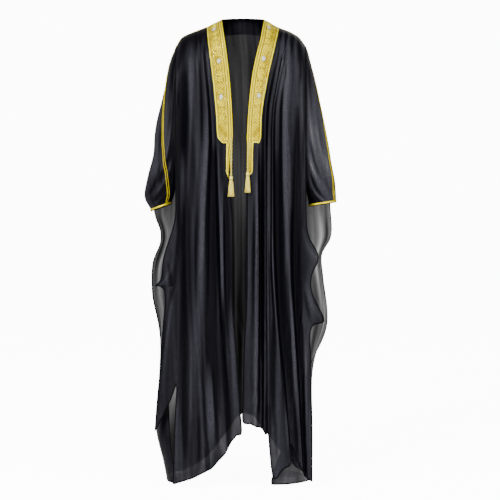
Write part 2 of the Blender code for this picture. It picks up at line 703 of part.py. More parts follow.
def medallion(name, tree, across, height, facing):
    """A shallow oval dome seated on a band."""
    spot, outward, *_ = tree.ray_cast(Vector((across, facing, height)), Vector((0, -facing, 0)))
    if outward.y * facing < 0:
        outward = -outward
    sideways = Vector((0, 0, 1)).cross(outward).normalized()
    upward = outward.cross(sideways)
    shape = bmesh.new()
    bmesh.ops.create_uvsphere(shape, u_segments=MEDALLION_SIDES, v_segments=MEDALLION_RINGS, radius=1.0)
    for vertex in shape.verts:
        a, b, c = vertex.co
        place = spot + sideways * (a * MEDALLION_HALF_WIDTH) + upward * (b * MEDALLION_HALF_LENGTH)
        hit, *_ = tree.ray_cast(place + outward * MEDALLION_PROBE, -outward)
        vertex.co = hit + outward * (MEDALLION_SEAT + max(0.0, c) * MEDALLION_RISE)
    mesh = bpy.data.meshes.new(name)
    shape.to_mesh(mesh)
    shape.free()
    return finish_piece(name, mesh, SILVER)


def strands(name, top, spread):
    """The strands of a tassel, three-sided, apart from one another, their roots in the head."""
    shape = bmesh.new()
    foot = top.z - TASSEL_LENGTH
    count = 0
    for number, share in STRAND_RINGS:
        for k in range(number):
            turn = math.tau * (k + share) / number
            around = Vector((math.cos(turn), math.sin(turn), 0))
            flatter = Vector((around.x, around.y * TASSEL_FLATNESS, 0))
            count += 1
            end = foot + STRAND_UNEVEN * (1 + math.sin(count * STRAND_SEED)) / 2
            middle = STRAND_ROOTS + (spread - STRAND_ROOTS) * MIDDLE_SPREAD
            reach = (STRAND_ROOTS * share, middle * share, spread * share)
            levels = (top.z - HEAD_HALF_HEIGHT, top.z - TASSEL_LENGTH * STRAND_MIDDLE, end)
            rings = []
            for way, out, level, radius in zip((around, flatter, flatter), reach, levels, STRAND_RADII):
                centre = Vector((top.x, top.y, level)) + way * out
                rings.append([shape.verts.new(centre + Matrix.Rotation(turn + math.tau * m / 3, 3, "Z")
                                              @ Vector((radius, 0, 0))) for m in range(3)])
            for upper, lower in zip(rings, rings[1:]):
                for m in range(3):
                    n = (m + 1) % 3
                    shape.faces.new((upper[m], lower[m], lower[n], upper[n]))
            shape.faces.new(rings[0])
            shape.faces.new(rings[-1][::-1])
    bmesh.ops.recalc_face_normals(shape, faces=shape.faces)
    mesh = bpy.data.meshes.new(name)
    shape.to_mesh(mesh)
    shape.free()
    cutter = bpy.data.objects.new(name, mesh)
    cutter.hide_render = True
    cutter.display_type = "WIRE"
    bpy.data.collections["cutters"].objects.link(cutter)
    return cutter


def tassel(name, cord_end, spread):
    """A tassel: its head, with the strands fused to it."""
    top = Vector(cord_end) - Vector((0, 0, GAP))
    shape = bmesh.new()
    bmesh.ops.create_uvsphere(shape, u_segments=HEAD_SIDES, v_segments=HEAD_RINGS, radius=1.0)
    bmesh.ops.scale(shape, verts=shape.verts, vec=(HEAD_RADIUS, HEAD_RADIUS, HEAD_HALF_HEIGHT))
    bmesh.ops.translate(shape, verts=shape.verts, vec=top - Vector((0, 0, HEAD_HALF_HEIGHT)))
    mesh = bpy.data.meshes.new(name)
    shape.to_mesh(mesh)
    shape.free()
    piece = finish_piece(name, mesh, GOLD)
    fuse = piece.modifiers.new("strands", "BOOLEAN")
    fuse.operation = "UNION"
    fuse.solver = "EXACT"
    fuse.object = strands(name + "_strands", top, spread)
    return piece


def clear_scene():
    """Start from an empty file with one collection for the garment."""
    for item in list(bpy.data.objects):
        bpy.data.objects.remove(item, do_unlink=True)
    for name in ("open_front_cloak", "cutters"):
        bpy.context.scene.collection.children.link(bpy.data.collections.new(name))


def main():
    """Build every piece."""
    clear_scene()
    left = front_sheet(Panel(FRONT_LEFT, LEFT_ROWS, OPENING_LEFT, SIDE_LEFT), -1, FLAP_CELLS)
    right = front_sheet(Panel(FRONT_RIGHT, RIGHT_ROWS, OPENING_RIGHT, SIDE_RIGHT), 1)
    back = back_sheet(Panel(BACK, BACK_ROWS), (SLEEVE_LEFT, SLEEVE_RIGHT))
    sleeve_left = sleeve_sheet(SLEEVE_LEFT, -1, FRONT_CELLS_LEFT, BACK_CELLS_LEFT)
    sleeve_right = sleeve_sheet(SLEEVE_RIGHT, 1, FRONT_CELLS_RIGHT, BACK_CELLS_RIGHT)
    cloth_piece("front_left", left)
    cloth_piece("front_right", right)
    cloth_piece("back", back)
    cloth_piece("sleeve_left", sleeve_left)
    cloth_piece("sleeve_right", sleeve_right)
    band("band_left", left, front_band_blocks(BROAD_LEFT))
    band("band_right", right, front_band_blocks(BROAD_RIGHT))
    band("band_neck", back, neck_band_block())
    for name, sheet, spots in (("medallion_left", left, MEDALLIONS_LEFT),
                               ("medallion_right", right, MEDALLIONS_RIGHT)):
        tree = BVHTree.FromPolygons(sheet.points, sheet.faces)
        for k, (across, height) in enumerate(spots):
            medallion(f"{name}_{k + 1}", tree, across, height, -1)
    medallion("medallion_neck", BVHTree.FromPolygons(back.points, back.faces), *MEDALLION_NECK, 1)
    braid("braid_left", -1, SEAM_LEFT, sleeve_left, FRONT_CELLS_LEFT)
    braid("braid_right", 1, SEAM_RIGHT, sleeve_right, FRONT_CELLS_RIGHT)
    cuff("cuff_left", sleeve_left)
    cuff("cuff_right", sleeve_right)
    tube("cord_left", evenly_along(CORD_LEFT, CORD_CELLS), CORD_RADIUS, GOLD)
    tube("cord_right", evenly_along(CORD_RIGHT, CORD_CELLS), CORD_RADIUS, GOLD)
    tassel("tassel_left", CORD_LEFT[-1], SPREAD_LEFT)
    tassel("tassel_right", CORD_RIGHT[-1], SPREAD_RIGHT)


main()
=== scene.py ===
# %% [markdown]
# # An open-front ceremonial cloak in sheer black cloth
#
# This notebook dresses a plain solid model of the cloak: sheer cloth with soft creases, gold
# embroidered bands, plaited braid, twisted cords and tassels. It is written for a reader who
# is learning Blender. Every size is in metres, with +Z up and the open front facing -Y.

# %% Load the frame
import math

import bmesh
import bpy
import numpy as np
from mathutils import Matrix, Vector
from mathutils.bvhtree import BVHTree
from mathutils.kdtree import KDTree


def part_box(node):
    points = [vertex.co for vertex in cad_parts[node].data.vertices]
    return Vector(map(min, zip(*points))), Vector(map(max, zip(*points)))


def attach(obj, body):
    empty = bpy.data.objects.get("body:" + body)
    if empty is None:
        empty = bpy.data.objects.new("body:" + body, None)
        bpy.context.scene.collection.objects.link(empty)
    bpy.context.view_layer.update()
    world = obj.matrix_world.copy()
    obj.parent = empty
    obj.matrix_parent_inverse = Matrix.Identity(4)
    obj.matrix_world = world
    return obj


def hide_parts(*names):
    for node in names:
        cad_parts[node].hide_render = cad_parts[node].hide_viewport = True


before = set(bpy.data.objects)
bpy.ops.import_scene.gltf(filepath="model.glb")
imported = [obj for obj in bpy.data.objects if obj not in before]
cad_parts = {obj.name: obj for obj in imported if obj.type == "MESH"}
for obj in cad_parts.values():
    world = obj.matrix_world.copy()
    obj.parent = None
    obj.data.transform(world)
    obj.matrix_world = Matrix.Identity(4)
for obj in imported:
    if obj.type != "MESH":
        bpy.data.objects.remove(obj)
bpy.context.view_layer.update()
MM = 0.001

# %% [markdown]
# ## Camera and studio
#
# The picture was taken from about 5 m with a long lens, 0.9 m above the floor and tilted down
# a little. Three soft square lights stand round the cloak: a key, a fill and a rim.

# %% Camera
CAMERA_PLACE = (0.03, -5.0, -0.64)
CAMERA_TILT = math.radians(-1.42)
VIEW_ANGLE = math.radians(19.02)
FLOOR = -1.540

bpy.ops.object.camera_add(location=CAMERA_PLACE, rotation=(math.pi / 2 + CAMERA_TILT, 0, 0))
camera = bpy.context.object
camera.data.angle = VIEW_ANGLE
bpy.context.scene.camera = camera
print("camera lens", round(camera.data.lens, 1), "mm")

# %% Studio light
MIDDLE = Vector((0.0, 0.0, -0.75))
# name, place, size and watts
LIGHTS = (
    ("key", (-2.2, -3.6, 1.5), 1.3, 310),
    ("fill", (2.7, -3.2, 0.6), 1.8, 130),
    ("rim", (1.4, 3.2, 1.6), 1.6, 12),
)
for name, place, size, watts in LIGHTS:
    bpy.ops.object.light_add(type="AREA", location=place)
    light = bpy.context.object
    light.name = name
    light.data.size = size
    light.data.energy = watts
    light.rotation_euler = (MIDDLE - Vector(place)).to_track_quat("-Z", "Y").to_euler()
print("lights", len(LIGHTS))

# %% Helpers for pieces
def activate(piece):
    """Select one piece alone, ready for an operator."""
    bpy.ops.object.select_all(action="DESELECT")
    piece.select_set(True)
    bpy.context.view_layer.objects.active = piece


def new_piece(name, points, faces):
    """A mesh object at the origin."""
    mesh = bpy.data.meshes.new(name)
    mesh.from_pydata([tuple(point) for point in points], [], [tuple(face) for face in faces])
    mesh.update()
    piece = bpy.data.objects.new(name, mesh)
    bpy.context.scene.collection.objects.link(piece)
    return piece


def read_points(mesh, kind="co"):
    """A mesh's points as an array, or the directions they face where kind is normal."""
    values = np.empty(len(mesh.vertices) * 3)
    mesh.vertices.foreach_get(kind, values)
    return values.reshape(-1, 3)


def write_points(mesh, points):
    """Move a mesh's points."""
    mesh.vertices.foreach_set("co", np.asarray(points).ravel())
    mesh.update()


def read_faces(mesh):
    """The point numbers of each face."""
    return [tuple(polygon.vertices) for polygon in mesh.polygons]


def write_values(piece, name, values):
    """Give each point of a piece a number that its material can read."""
    piece.data.attributes.new(name, "FLOAT", "POINT").data.foreach_set("value", values)


def point_tree(points):
    """A search tree over points."""
    tree = KDTree(len(points))
    for index, point in enumerate(points):
        tree.insert(point, index)
    tree.balance()
    return tree


def surface_tree(*pieces):
    """A search tree over the faces of one or more pieces."""
    points, faces = [], []
    for piece in pieces:
        faces += [[index + len(points) for index in face] for face in read_faces(piece.data)]
        points += [tuple(point) for point in read_points(piece.data)]
    return BVHTree.FromPolygons(points, faces)


def dress(piece, material):
    """Give a piece its material and slot, smooth its shading and fix it to the part."""
    piece.data.materials.clear()
    piece.data.materials.append(material)
    for polygon in piece.data.polygons:
        polygon.material_index = 0
        polygon.use_smooth = True
    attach(piece, "root")
    print(piece.name, sum(len(face) - 2 for face in read_faces(piece.data)), "triangles")
    return piece


# %% [markdown]
# ## Finishes
#
# The cloth is a sheer voile: the backdrop shows grey through a single layer, and folds stack up
# layers and look nearly black. The bands, braid and cords are metal thread. Effects that several
# finishes share are node groups.

# %% Helpers for node trees
def feed(socket, value):
    """Link a socket to another one, or set its value."""
    if isinstance(value, bpy.types.NodeSocket):
        socket.id_data.links.new(value, socket)
    else:
        socket.default_value = value


def add_node(tree, kind, **inputs):
    """A node with its inputs fed by name. From_Min feeds the input From Min."""
    node = tree.nodes.new("ShaderNode" + kind)
    for label, value in inputs.items():
        feed(node.inputs[label.replace("_", " ")], value)
    return node


def calc(tree, operation, first, second=0.0, clamp=False):
    """One Math node."""
    node = add_node(tree, "Math")
    node.operation = operation
    node.use_clamp = clamp
    feed(node.inputs[0], first)
    feed(node.inputs[1], second)
    return node.outputs[0]


def wave(tree, value, rate):
    """The sine of a value that is multiplied by a rate."""
    return calc(tree, "SINE", calc(tree, "MULTIPLY", value, rate))


def blend_colours(tree, share, first, second):
    """Mix two colours. A Mix node has its colours at inputs 6 and 7."""
    node = add_node(tree, "Mix")
    node.data_type = "RGBA"
    for index, value in zip((0, 6, 7), (share, first, second)):
        feed(node.inputs[index], value)
    return node.outputs[2]


def tint(tree, colour, mask, share, other):
    """Blend a share of another colour in where a mask is 1."""
    return blend_colours(tree, calc(tree, "MULTIPLY", mask, share), colour, other)


def spread_out(tree, value, low, high):
    """0 at low, 1 at high."""
    return add_node(tree, "MapRange", Value=value, From_Min=low, From_Max=high).outputs["Result"]


def point_value(tree, name):
    """The value of a piece's own attribute."""
    node = add_node(tree, "Attribute")
    node.attribute_name = name
    return node.outputs["Fac"]


def own_map(tree, name):
    """A place on a piece's own UV map."""
    node = add_node(tree, "UVMap")
    node.uv_map = name
    return node.outputs["UV"]


def new_group(name, inputs, outputs):
    """An empty shader group with named sockets: its tree, its input node and its output node."""
    tree = bpy.data.node_groups.new(name, "ShaderNodeTree")
    for label, kind, value in inputs:
        socket = tree.interface.new_socket(label, in_out="INPUT", socket_type=kind)
        if value is not None:
            socket.default_value = value
    for label, kind in outputs:
        tree.interface.new_socket(label, in_out="OUTPUT", socket_type=kind)
    return tree, tree.nodes.new("NodeGroupInput"), tree.nodes.new("NodeGroupOutput")


def place_group(material, name, **values):
    """Put a group in a material with its own values."""
    node = add_node(material.node_tree, "Group")
    node.node_tree = bpy.data.node_groups[name]
    for label, value in values.items():
        feed(node.inputs[label], value)
    return node


def new_material(name, roughness, metallic=0.0, specular=0.5):
    """A material with its Principled shader."""
    material = bpy.data.materials.new(name)
    material.use_nodes = True
    shader = material.node_tree.nodes["Principled BSDF"]
    shader.inputs["Roughness"].default_value = roughness
    shader.inputs["Metallic"].default_value = metallic
    shader.inputs["Specular IOR Level"].default_value = specular
    return material, shader


def bump(material, shader, height, strength, distance):
    """Feed a height to the shader's normal."""
    node = add_node(material.node_tree, "Bump", Strength=strength, Distance=distance, Height=height)
    feed(shader.inputs["Normal"], node.outputs["Normal"])


# %% Groups for threads
tree, given, made = new_group(
    "thread_weave",
    [("Vector", "NodeSocketVector", None), ("Pitch", "NodeSocketFloat", 0.001)],
    [("Height", "NodeSocketFloat"), ("Slub", "NodeSocketFloat")])
place = given.outputs["Vector"]
split = add_node(tree, "SeparateXYZ", Vector=place)
step = calc(tree, "DIVIDE", math.pi, given.outputs["Pitch"])
warp, weft = [calc(tree, "ABSOLUTE", wave(tree, split.outputs[way], step)) for way in (0, 1)]
feed(made.inputs["Height"], calc(tree, "MAXIMUM", warp, weft))
slub = add_node(tree, "TexNoise", Vector=place, Scale=60.0, Detail=3.0)
feed(made.inputs["Slub"], slub.outputs["Fac"])

tree, given, made = new_group(
    "metal_thread",
    [("Vector", "NodeSocketVector", None), ("Scale", "NodeSocketFloat", 900.0)],
    [("Height", "NodeSocketFloat"), ("Glint", "NodeSocketFloat"), ("Tarnish_and_shade", "NodeSocketFloat")])
place, scale = given.outputs["Vector"], given.outputs["Scale"]
ribs = add_node(tree, "TexWave", Vector=place, Scale=scale, Distortion=1.5)
ribs.bands_direction = "DIAGONAL"
feed(made.inputs["Height"], ribs.outputs["Fac"])
flecks = add_node(tree, "TexVoronoi", Vector=place, Scale=scale)
feed(made.inputs["Glint"], calc(tree, "LESS_THAN", flecks.outputs["Distance"], 0.28))
# patches of tarnish on most threads, and painted highlight and shade on the tassels
patches = add_node(tree, "TexNoise", Vector=place, Scale=45.0)
feed(made.inputs["Tarnish_and_shade"], patches.outputs["Fac"])
print("groups", sorted(g.name for g in bpy.data.node_groups))

# %% Sheer cloth
# each further layer lets this share through; the first counts for less, since voile is open
LAYER_LIGHT = 0.021
FIRST_LAYER = 0.65
# cloth colours: the mix from pale to dark by layers is partly how thin the cloth is, partly painted shade
# in troughs and a painted highlight on ridges
CLOTH_DARK = (0.0010, 0.0009, 0.0022, 1.0)
CLOTH_THIN_AND_HIGHLIGHT = (0.048, 0.047, 0.060, 1.0)
HEM_DARK = (0.002, 0.002, 0.003, 1.0)
PALE_LAYERS = 0.75
DARK_LAYERS = 2.0
# width, length and strength of the uneven streaks along the cloth: they thin and thicken it, and paint
# lighter and darker columns, a painted sheen and shade of soft pleats
STREAKS_OF_SHEEN_AND_SHADE = ((17 * MM, 300 * MM, 0.35), (62 * MM, 800 * MM, 0.55))


def cloth_material(name):
    """Sheer black voile. The layers_and_shade attribute says how much cloth is gathered at each point, with
    painted shade in troughs and a painted highlight on ridges.
    """
    material, shader = new_material(name, 0.42, specular=0.05)
    tree = material.node_tree
    place = own_map(tree, "cloth")
    weave = place_group(material, "thread_weave", Vector=place, Pitch=0.9 * MM)
    layers = point_value(tree, "layers_and_shade")
    for width, length, share in STREAKS_OF_SHEEN_AND_SHADE:
        stretch = add_node(tree, "Mapping", Vector=place, Scale=(1 / width, 1 / length, 1.0))
        streak = add_node(tree, "TexNoise", Vector=stretch.outputs["Vector"], Scale=1.0, Detail=1.5)
        uneven = calc(tree, "ADD", 1 - share / 2, calc(tree, "MULTIPLY", streak.outputs["Fac"], share))
        layers = calc(tree, "MULTIPLY", layers, uneven)
    threads = calc(tree, "ADD", 0.9, calc(tree, "MULTIPLY", weave.outputs["Height"], 0.13))
    counted = calc(tree, "SUBTRACT", calc(tree, "MULTIPLY", layers, threads), FIRST_LAYER)
    through = calc(tree, "POWER", LAYER_LIGHT, counted)
    feed(shader.inputs["Alpha"], calc(tree, "SUBTRACT", 1.0, through, clamp=True))
    # pale where the cloth is thin and on ridges, dark where it is gathered and in troughs: a painted
    # highlight and painted shade
    depth = add_node(tree, "MapRange", Value=layers, From_Min=PALE_LAYERS, From_Max=DARK_LAYERS)
    depth.interpolation_type = "SMOOTHSTEP"
    colour = blend_colours(tree, depth.outputs["Result"], CLOTH_THIN_AND_HIGHLIGHT, CLOTH_DARK)
    feed(shader.inputs["Base Color"], tint(tree, colour, weave.outputs["Slub"], 0.3, CLOTH_DARK))
    bump(material, shader, weave.outputs["Height"], 0.25, 0.1 * MM)
    return material


voile = cloth_material("sheer_voile")
hem_cloth, shader = new_material("rolled_hem", 0.7, specular=0.05)
tree = hem_cloth.node_tree
place = add_node(tree, "TexCoord").outputs["Object"]
weave = place_group(hem_cloth, "thread_weave", Vector=place, Pitch=0.6 * MM)
feed(shader.inputs["Base Color"], blend_colours(tree, weave.outputs["Slub"], HEM_DARK, CLOTH_DARK))
bump(hem_cloth, shader, weave.outputs["Height"], 0.4, 0.1 * MM)

# %% Metal threads
def thread_material(name, bright, dull, roughness, metallic, stretch=(1.0, 1.0, 1.0), scale=900.0):
    """Metal thread: fine ribs, glints, paler and duller patches, and painted shade in the grooves between
    plies. The patches are tarnish, and on the tassels painted highlight and shade along the strands.
    """
    material, shader = new_material(name, roughness, metallic, specular=0.08)
    tree = material.node_tree
    place = add_node(tree, "TexCoord").outputs["Object"]
    mapping = add_node(tree, "Mapping", Vector=place, Scale=stretch)
    thread = place_group(material, "metal_thread", Vector=mapping.outputs["Vector"], Scale=scale)
    colour = blend_colours(tree, spread_out(tree, thread.outputs["Tarnish_and_shade"], 0.35, 0.65), bright, dull)
    colour = tint(tree, colour, point_value(tree, "groove"), GROOVE_SHADE_SHARE, GROOVE_SHADE)
    paler = tuple(min(1.0, value * 1.35) for value in bright[:3]) + (1.0,)
    glint = thread.outputs["Glint"]
    feed(shader.inputs["Base Color"], tint(tree, colour, glint, 0.5, paler))
    feed(shader.inputs["Roughness"], calc(tree, "SUBTRACT", roughness, calc(tree, "MULTIPLY", glint, 0.15)))
    bump(material, shader, thread.outputs["Height"], 0.5, 0.25 * MM)
    return material


GOLD_BRIGHT = (0.90, 0.74, 0.003, 1.0)
GOLD_DULL = (0.62, 0.47, 0.002, 1.0)
CREAM = (1.0, 0.88, 0.03, 1.0)
ORANGE = (0.20, 0.10, 0.001, 1.0)
SILVER = (0.72, 0.71, 0.66, 1.0)
SILVER_DULL = (0.50, 0.48, 0.40, 1.0)
# painted highlight and painted shade, laid as streaks along the strands of the tassels and cords
TASSEL_HIGHLIGHT = (1.0, 0.96, 0.24, 1.0)
TASSEL_SHADE = (0.74, 0.48, 0.004, 1.0)
LEAF_BRIGHT = (0.86, 0.72, 0.002, 1.0)
LEAF_DULL = (0.76, 0.60, 0.001, 1.0)
SEQUIN_GOLD = (1.0, 0.92, 0.45, 1.0)
# painted shade in the grooves between plies, and how much of it
GROOVE_SHADE = (0.10, 0.05, 0.001, 1.0)
GROOVE_SHADE_SHARE = 0.85
gold_thread = thread_material("gold_thread", GOLD_BRIGHT, GOLD_DULL, 0.42, 0.45)
tassel_thread = thread_material("tassel_thread", TASSEL_HIGHLIGHT, TASSEL_SHADE, 0.4, 0.1,
                                stretch=(12.0, 12.0, 0.6), scale=75.0)
cream_thread = thread_material("cream_thread", CREAM, GOLD_BRIGHT, 0.5, 0.2)
orange_thread = thread_material("orange_thread", ORANGE, GOLD_DULL, 0.5, 0.3)
silver_thread = thread_material("silver_thread", SILVER, SILVER_DULL, 0.34, 0.3)
bright_thread = thread_material("bright_thread", LEAF_BRIGHT, LEAF_DULL, 0.34, 0.3)
sequin_metal = thread_material("sequin_metal", SEQUIN_GOLD, GOLD_BRIGHT, 0.20, 0.8)
print("materials", len(bpy.data.materials))

# %% Embroidered band
INNER_STRIP = 15 * MM
BORDER = 7 * MM
LOZENGE = 10 * MM
TWO_RIBS = 4 * MM
RIB_LEAN = 0.6
BAND_GOLD = (0.60, 0.48, 0.001, 1.0)
BAND_OLIVE = (0.27, 0.19, 0.001, 1.0)
BAND_BRIGHT = (0.88, 0.74, 0.003, 1.0)
# lines of thread: measured across from the opening or in from the outer edge, start and end in mm
BAND_LINES = (
    ("across", 0.0, 3.6, BAND_BRIGHT), ("across", 3.8, 5.6, ORANGE), ("across", 8.0, 10.0, BAND_BRIGHT),
    ("across", 12.4, 15.2, ORANGE), ("across", 15.4, 17.2, BAND_BRIGHT),
    ("edge", 0.0, 3.2, CREAM), ("edge", 5.2, 7.2, ORANGE),
)


def stripe(tree, distance, start, end):
    """1 where a distance lies between two values, else 0."""
    beyond = calc(tree, "GREATER_THAN", distance, start)
    return calc(tree, "MULTIPLY", beyond, calc(tree, "LESS_THAN", distance, end))


def band_material():
    """Gold embroidery: a ribbed strip by the opening, then a field of small lozenges with a border."""
    material, shader = new_material("gold_embroidery", 0.48, 0.3, specular=0.05)
    tree = material.node_tree
    place = own_map(tree, "band")
    along, across, _ = add_node(tree, "SeparateXYZ", Vector=place).outputs
    from_edge = point_value(tree, "edge")
    slant = math.tau / LOZENGE / 2
    rise = wave(tree, calc(tree, "ADD", along, across), slant)
    fall = wave(tree, calc(tree, "SUBTRACT", along, across), slant)
    lozenges = calc(tree, "ABSOLUTE", calc(tree, "MULTIPLY", rise, fall))
    leaning = calc(tree, "ADD", along, calc(tree, "MULTIPLY", across, RIB_LEAN))
    satin = calc(tree, "ABSOLUTE", wave(tree, leaning, math.tau / TWO_RIBS))
    in_strip = calc(tree, "LESS_THAN", across, INNER_STRIP)
    in_border = calc(tree, "LESS_THAN", from_edge, BORDER)
    ribbed = calc(tree, "MAXIMUM", in_strip, in_border)
    relief = calc(tree, "ADD", calc(tree, "MULTIPLY", ribbed, satin),
                  calc(tree, "MULTIPLY", calc(tree, "SUBTRACT", 1.0, ribbed), lozenges))
    thread = place_group(material, "metal_thread", Vector=place, Scale=700.0)
    cloudy = spread_out(tree, thread.outputs["Tarnish_and_shade"], 0.40, 0.60)
    colour = blend_colours(tree, cloudy, BAND_GOLD, BAND_OLIVE)
    colour = tint(tree, colour, in_strip, 0.45, BAND_OLIVE)
    # painted shade in the relief's hollows, tinted dark orange, and a painted highlight on its high points,
    # tinted bright gold
    colour = tint(tree, colour, calc(tree, "LESS_THAN", relief, 0.18), 0.8, ORANGE)
    colour = tint(tree, colour, calc(tree, "GREATER_THAN", relief, 0.72), 0.55, BAND_BRIGHT)
    distances = {"across": across, "edge": from_edge}
    for kind, start, end, line in BAND_LINES:
        colour = tint(tree, colour, stripe(tree, distances[kind], start * MM, end * MM), 0.85, line)
    feed(shader.inputs["Base Color"], colour)
    height = calc(tree, "ADD", relief, calc(tree, "MULTIPLY", thread.outputs["Height"], 0.35))
    bump(material, shader, height, 0.7, 0.5 * MM)
    return material


embroidery = band_material()

# %% [markdown]
# ## Ropes and tubes
#
# Edging, braid, cords and hems are all one idea: a section swept along a line. A lobed
# section that turns as it goes looks like twisted plies.

# %% Sweep a section
def lengths_along(line):
    """How far along a line each of its points is."""
    return np.concatenate([[0.0], np.cumsum(np.linalg.norm(np.diff(line, axis=0), axis=1))])


def spline_through(line, step, closed=False):
    """Points at an even step on a smooth curve through a line of points."""
    line = np.asarray(line, float)
    if closed:
        line = np.vstack([line[-1:], line, line[:2]])
    else:
        line = np.vstack([2 * line[0] - line[1], line, 2 * line[-1] - line[-2]])
    ends, slopes = line[1:-1], (line[2:] - line[:-2]) / 2
    t = np.arange(0, 1, 1 / 12)[:, None]
    fine = []
    for k in range(len(ends) - 1):
        fine.append((1 + 2 * t) * (1 - t) ** 2 * ends[k] + t * (1 - t) ** 2 * slopes[k]
                    + t * t * (3 - 2 * t) * ends[k + 1] + t * t * (t - 1) * slopes[k + 1])
    fine = np.vstack(fine + [ends[-1]])
    lengths = lengths_along(fine)
    places = np.linspace(0, lengths[-1], max(4, round(lengths[-1] / step)) + 1)
    even = np.stack([np.interp(places, lengths, values) for values in fine.T], axis=1)
    return even[:-1] if closed else even


def frames_along(line, closed, up=None):
    """Two directions across the line at each point, turning as little as they can."""
    ahead = np.roll(line, -1, axis=0) - np.roll(line, 1, axis=0)
    if not closed:
        ahead[0], ahead[-1] = line[1] - line[0], line[-1] - line[-2]
    ahead /= np.linalg.norm(ahead, axis=1)[:, None]
    side = np.cross(ahead[0], (0.3, 0.5, 0.8))
    sides = []
    for k, way in enumerate(ahead):
        side = np.cross(way, up[k]) if up is not None else side - way * (side @ way)
        side = side / np.linalg.norm(side)
        sides.append(side)
    sides = np.array(sides)
    return sides, np.cross(sides, ahead)


def sweep(line, section, turns_per_metre=0.0, closed=False, up=None, taper=None):
    """Points, faces and grooves of a section swept along a line, with closed ends."""
    line = np.asarray(line, float)
    sides, ups = frames_along(line, closed, up)
    lengths = lengths_along(line)
    if closed:
        total = lengths[-1] + np.linalg.norm(line[0] - line[-1])
        turns_per_metre = round(turns_per_metre * total) / total
    turns = math.tau * turns_per_metre * lengths[:, None]
    sizes = 1.0 if taper is None else np.array(taper)[:, None]
    a, b, grooves = section.T
    right = (a * np.cos(turns) - b * np.sin(turns)) * sizes
    high = (a * np.sin(turns) + b * np.cos(turns)) * sizes
    points = line[:, None] + sides[:, None] * right[..., None] + ups[:, None] * high[..., None]
    rings, count = len(line), len(section)
    faces = []
    for k in range(rings if closed else rings - 1):
        here, there = k * count, (k + 1) % rings * count
        for m in range(count):
            n = (m + 1) % count
            faces.append((here + m, here + n, there + n, there + m))
    if not closed:
        faces.append(tuple(range(count))[::-1])
        faces.append(tuple(range((rings - 1) * count, rings * count)))
    return points.reshape(-1, 3), faces, np.tile(grooves, rings)


def lobed(radius, lobes, depth, sides):
    """A round section with lobes, like plies. Each point has two sizes and a depth of groove, 0 to 1."""
    turns = math.tau * np.arange(sides) / sides
    wave = np.cos(lobes * turns)
    reach = radius * (1 - depth + depth * wave)
    return np.stack([reach * np.cos(turns), reach * np.sin(turns), (1 - wave) / 2], axis=1)


def oval(half_wide, half_high, sides):
    """An oval section, without grooves."""
    turns = math.tau * np.arange(sides) / sides
    return np.stack([half_wide * np.cos(turns), half_high * np.sin(turns), 0 * turns], axis=1)


def joined(name, parts):
    """One piece of several swept parts, with its faces turned outwards."""
    points, faces, grooves = [], [], []
    for part_points, part_faces, part_grooves in parts:
        faces += [tuple(index + len(points) for index in face) for face in part_faces]
        points += list(part_points)
        grooves += list(part_grooves)
    piece = new_piece(name, points, faces)
    shape = bmesh.new()
    shape.from_mesh(piece.data)
    bmesh.ops.recalc_face_normals(shape, faces=shape.faces)
    shape.to_mesh(piece.data)
    shape.free()
    write_values(piece, "groove", grooves)
    return piece


# %% [markdown]
# ## Cords and tassels
#
# A twisted cord hangs from the foot of each broad band and ends in a tassel: a head wound
# with thread, and a skirt of fine strands.

# %% Cords
# the solid cords' own routes
CORD_LEFT = ((-0.0305, -0.1347, -0.393), (-0.0307, -0.1362, -0.425), (-0.0312, -0.1390, -0.470),
             (-0.0316, -0.1434, -0.519))
CORD_RIGHT = ((0.0240, -0.1349, -0.405), (0.0236, -0.1364, -0.435), (0.0230, -0.1392, -0.470),
              (0.0226, -0.1434, -0.506))
# half the width over the plies, and the cord's own even diameter
CORD_RADIUS = 3.4 * MM
CORD_TURNS = 42.0
TASSEL_LENGTH = 68 * MM
STRANDS = 130
STRAND = oval(0.55 * MM, 0.55 * MM, 4)
SKIRT_TOP = 12 * MM
SKIRT_RADIUS = 3.8 * MM
SKIRT_FLAT = 0.62
GOLDEN_ANGLE = 2.39996
# height and radius in mm along the wound head, and the heights of the rings that tie it
HEAD = ((0.0, 0.3), (-1.0, 3.4), (-3.0, 5.0), (-6.0, 5.9), (-9.0, 5.7), (-11.5, 4.7), (-13.0, 4.3))
TIES = (-11.0, -12.4, -13.8)
TIE_RADIUS = 4.7


def tassel(name, top, spread):
    """A wound head and a skirt of fine strands under a cord's end."""
    top = np.array(top)
    rng = np.random.default_rng(STRANDS)
    axis = top + np.array([(0, 0, height * MM) for height, _ in HEAD])
    parts = [sweep(axis, oval(MM, MM, 20), up=[(0.0, 1.0, 0.0)] * len(axis),
                   taper=[radius for _, radius in HEAD])]
    for height in TIES:
        ring = [(TIE_RADIUS * math.cos(t), TIE_RADIUS * math.sin(t), height)
                for t in np.linspace(0, math.tau, 25)[:-1]]
        parts.append(sweep(top + np.array(ring) * MM, lobed(0.9 * MM, 3, 0.16, 6), 300.0, closed=True))
    for k in range(STRANDS):
        share = math.sqrt((k + 0.5) / STRANDS)
        way = np.array([math.cos(k * GOLDEN_ANGLE), math.sin(k * GOLDEN_ANGLE) * SKIRT_FLAT, 0.0])
        wave = rng.uniform(-1, 1, 4) * 0.6 * MM
        end = -TASSEL_LENGTH + rng.uniform(0, 4.0) * MM
        line = []
        for t in np.linspace(0, 1, 8):
            out = SKIRT_RADIUS * share + (spread - SKIRT_RADIUS) * share * t ** 0.8
            sway = (wave[0] * math.sin(5 * t) + wave[1] * t, wave[2] * math.sin(4 * t) + wave[3] * t, 0)
            line.append(top + way * out + sway + (0, 0, -SKIRT_TOP + (end + SKIRT_TOP) * t))
        parts.append(sweep(line, STRAND))
    return joined(name, parts)


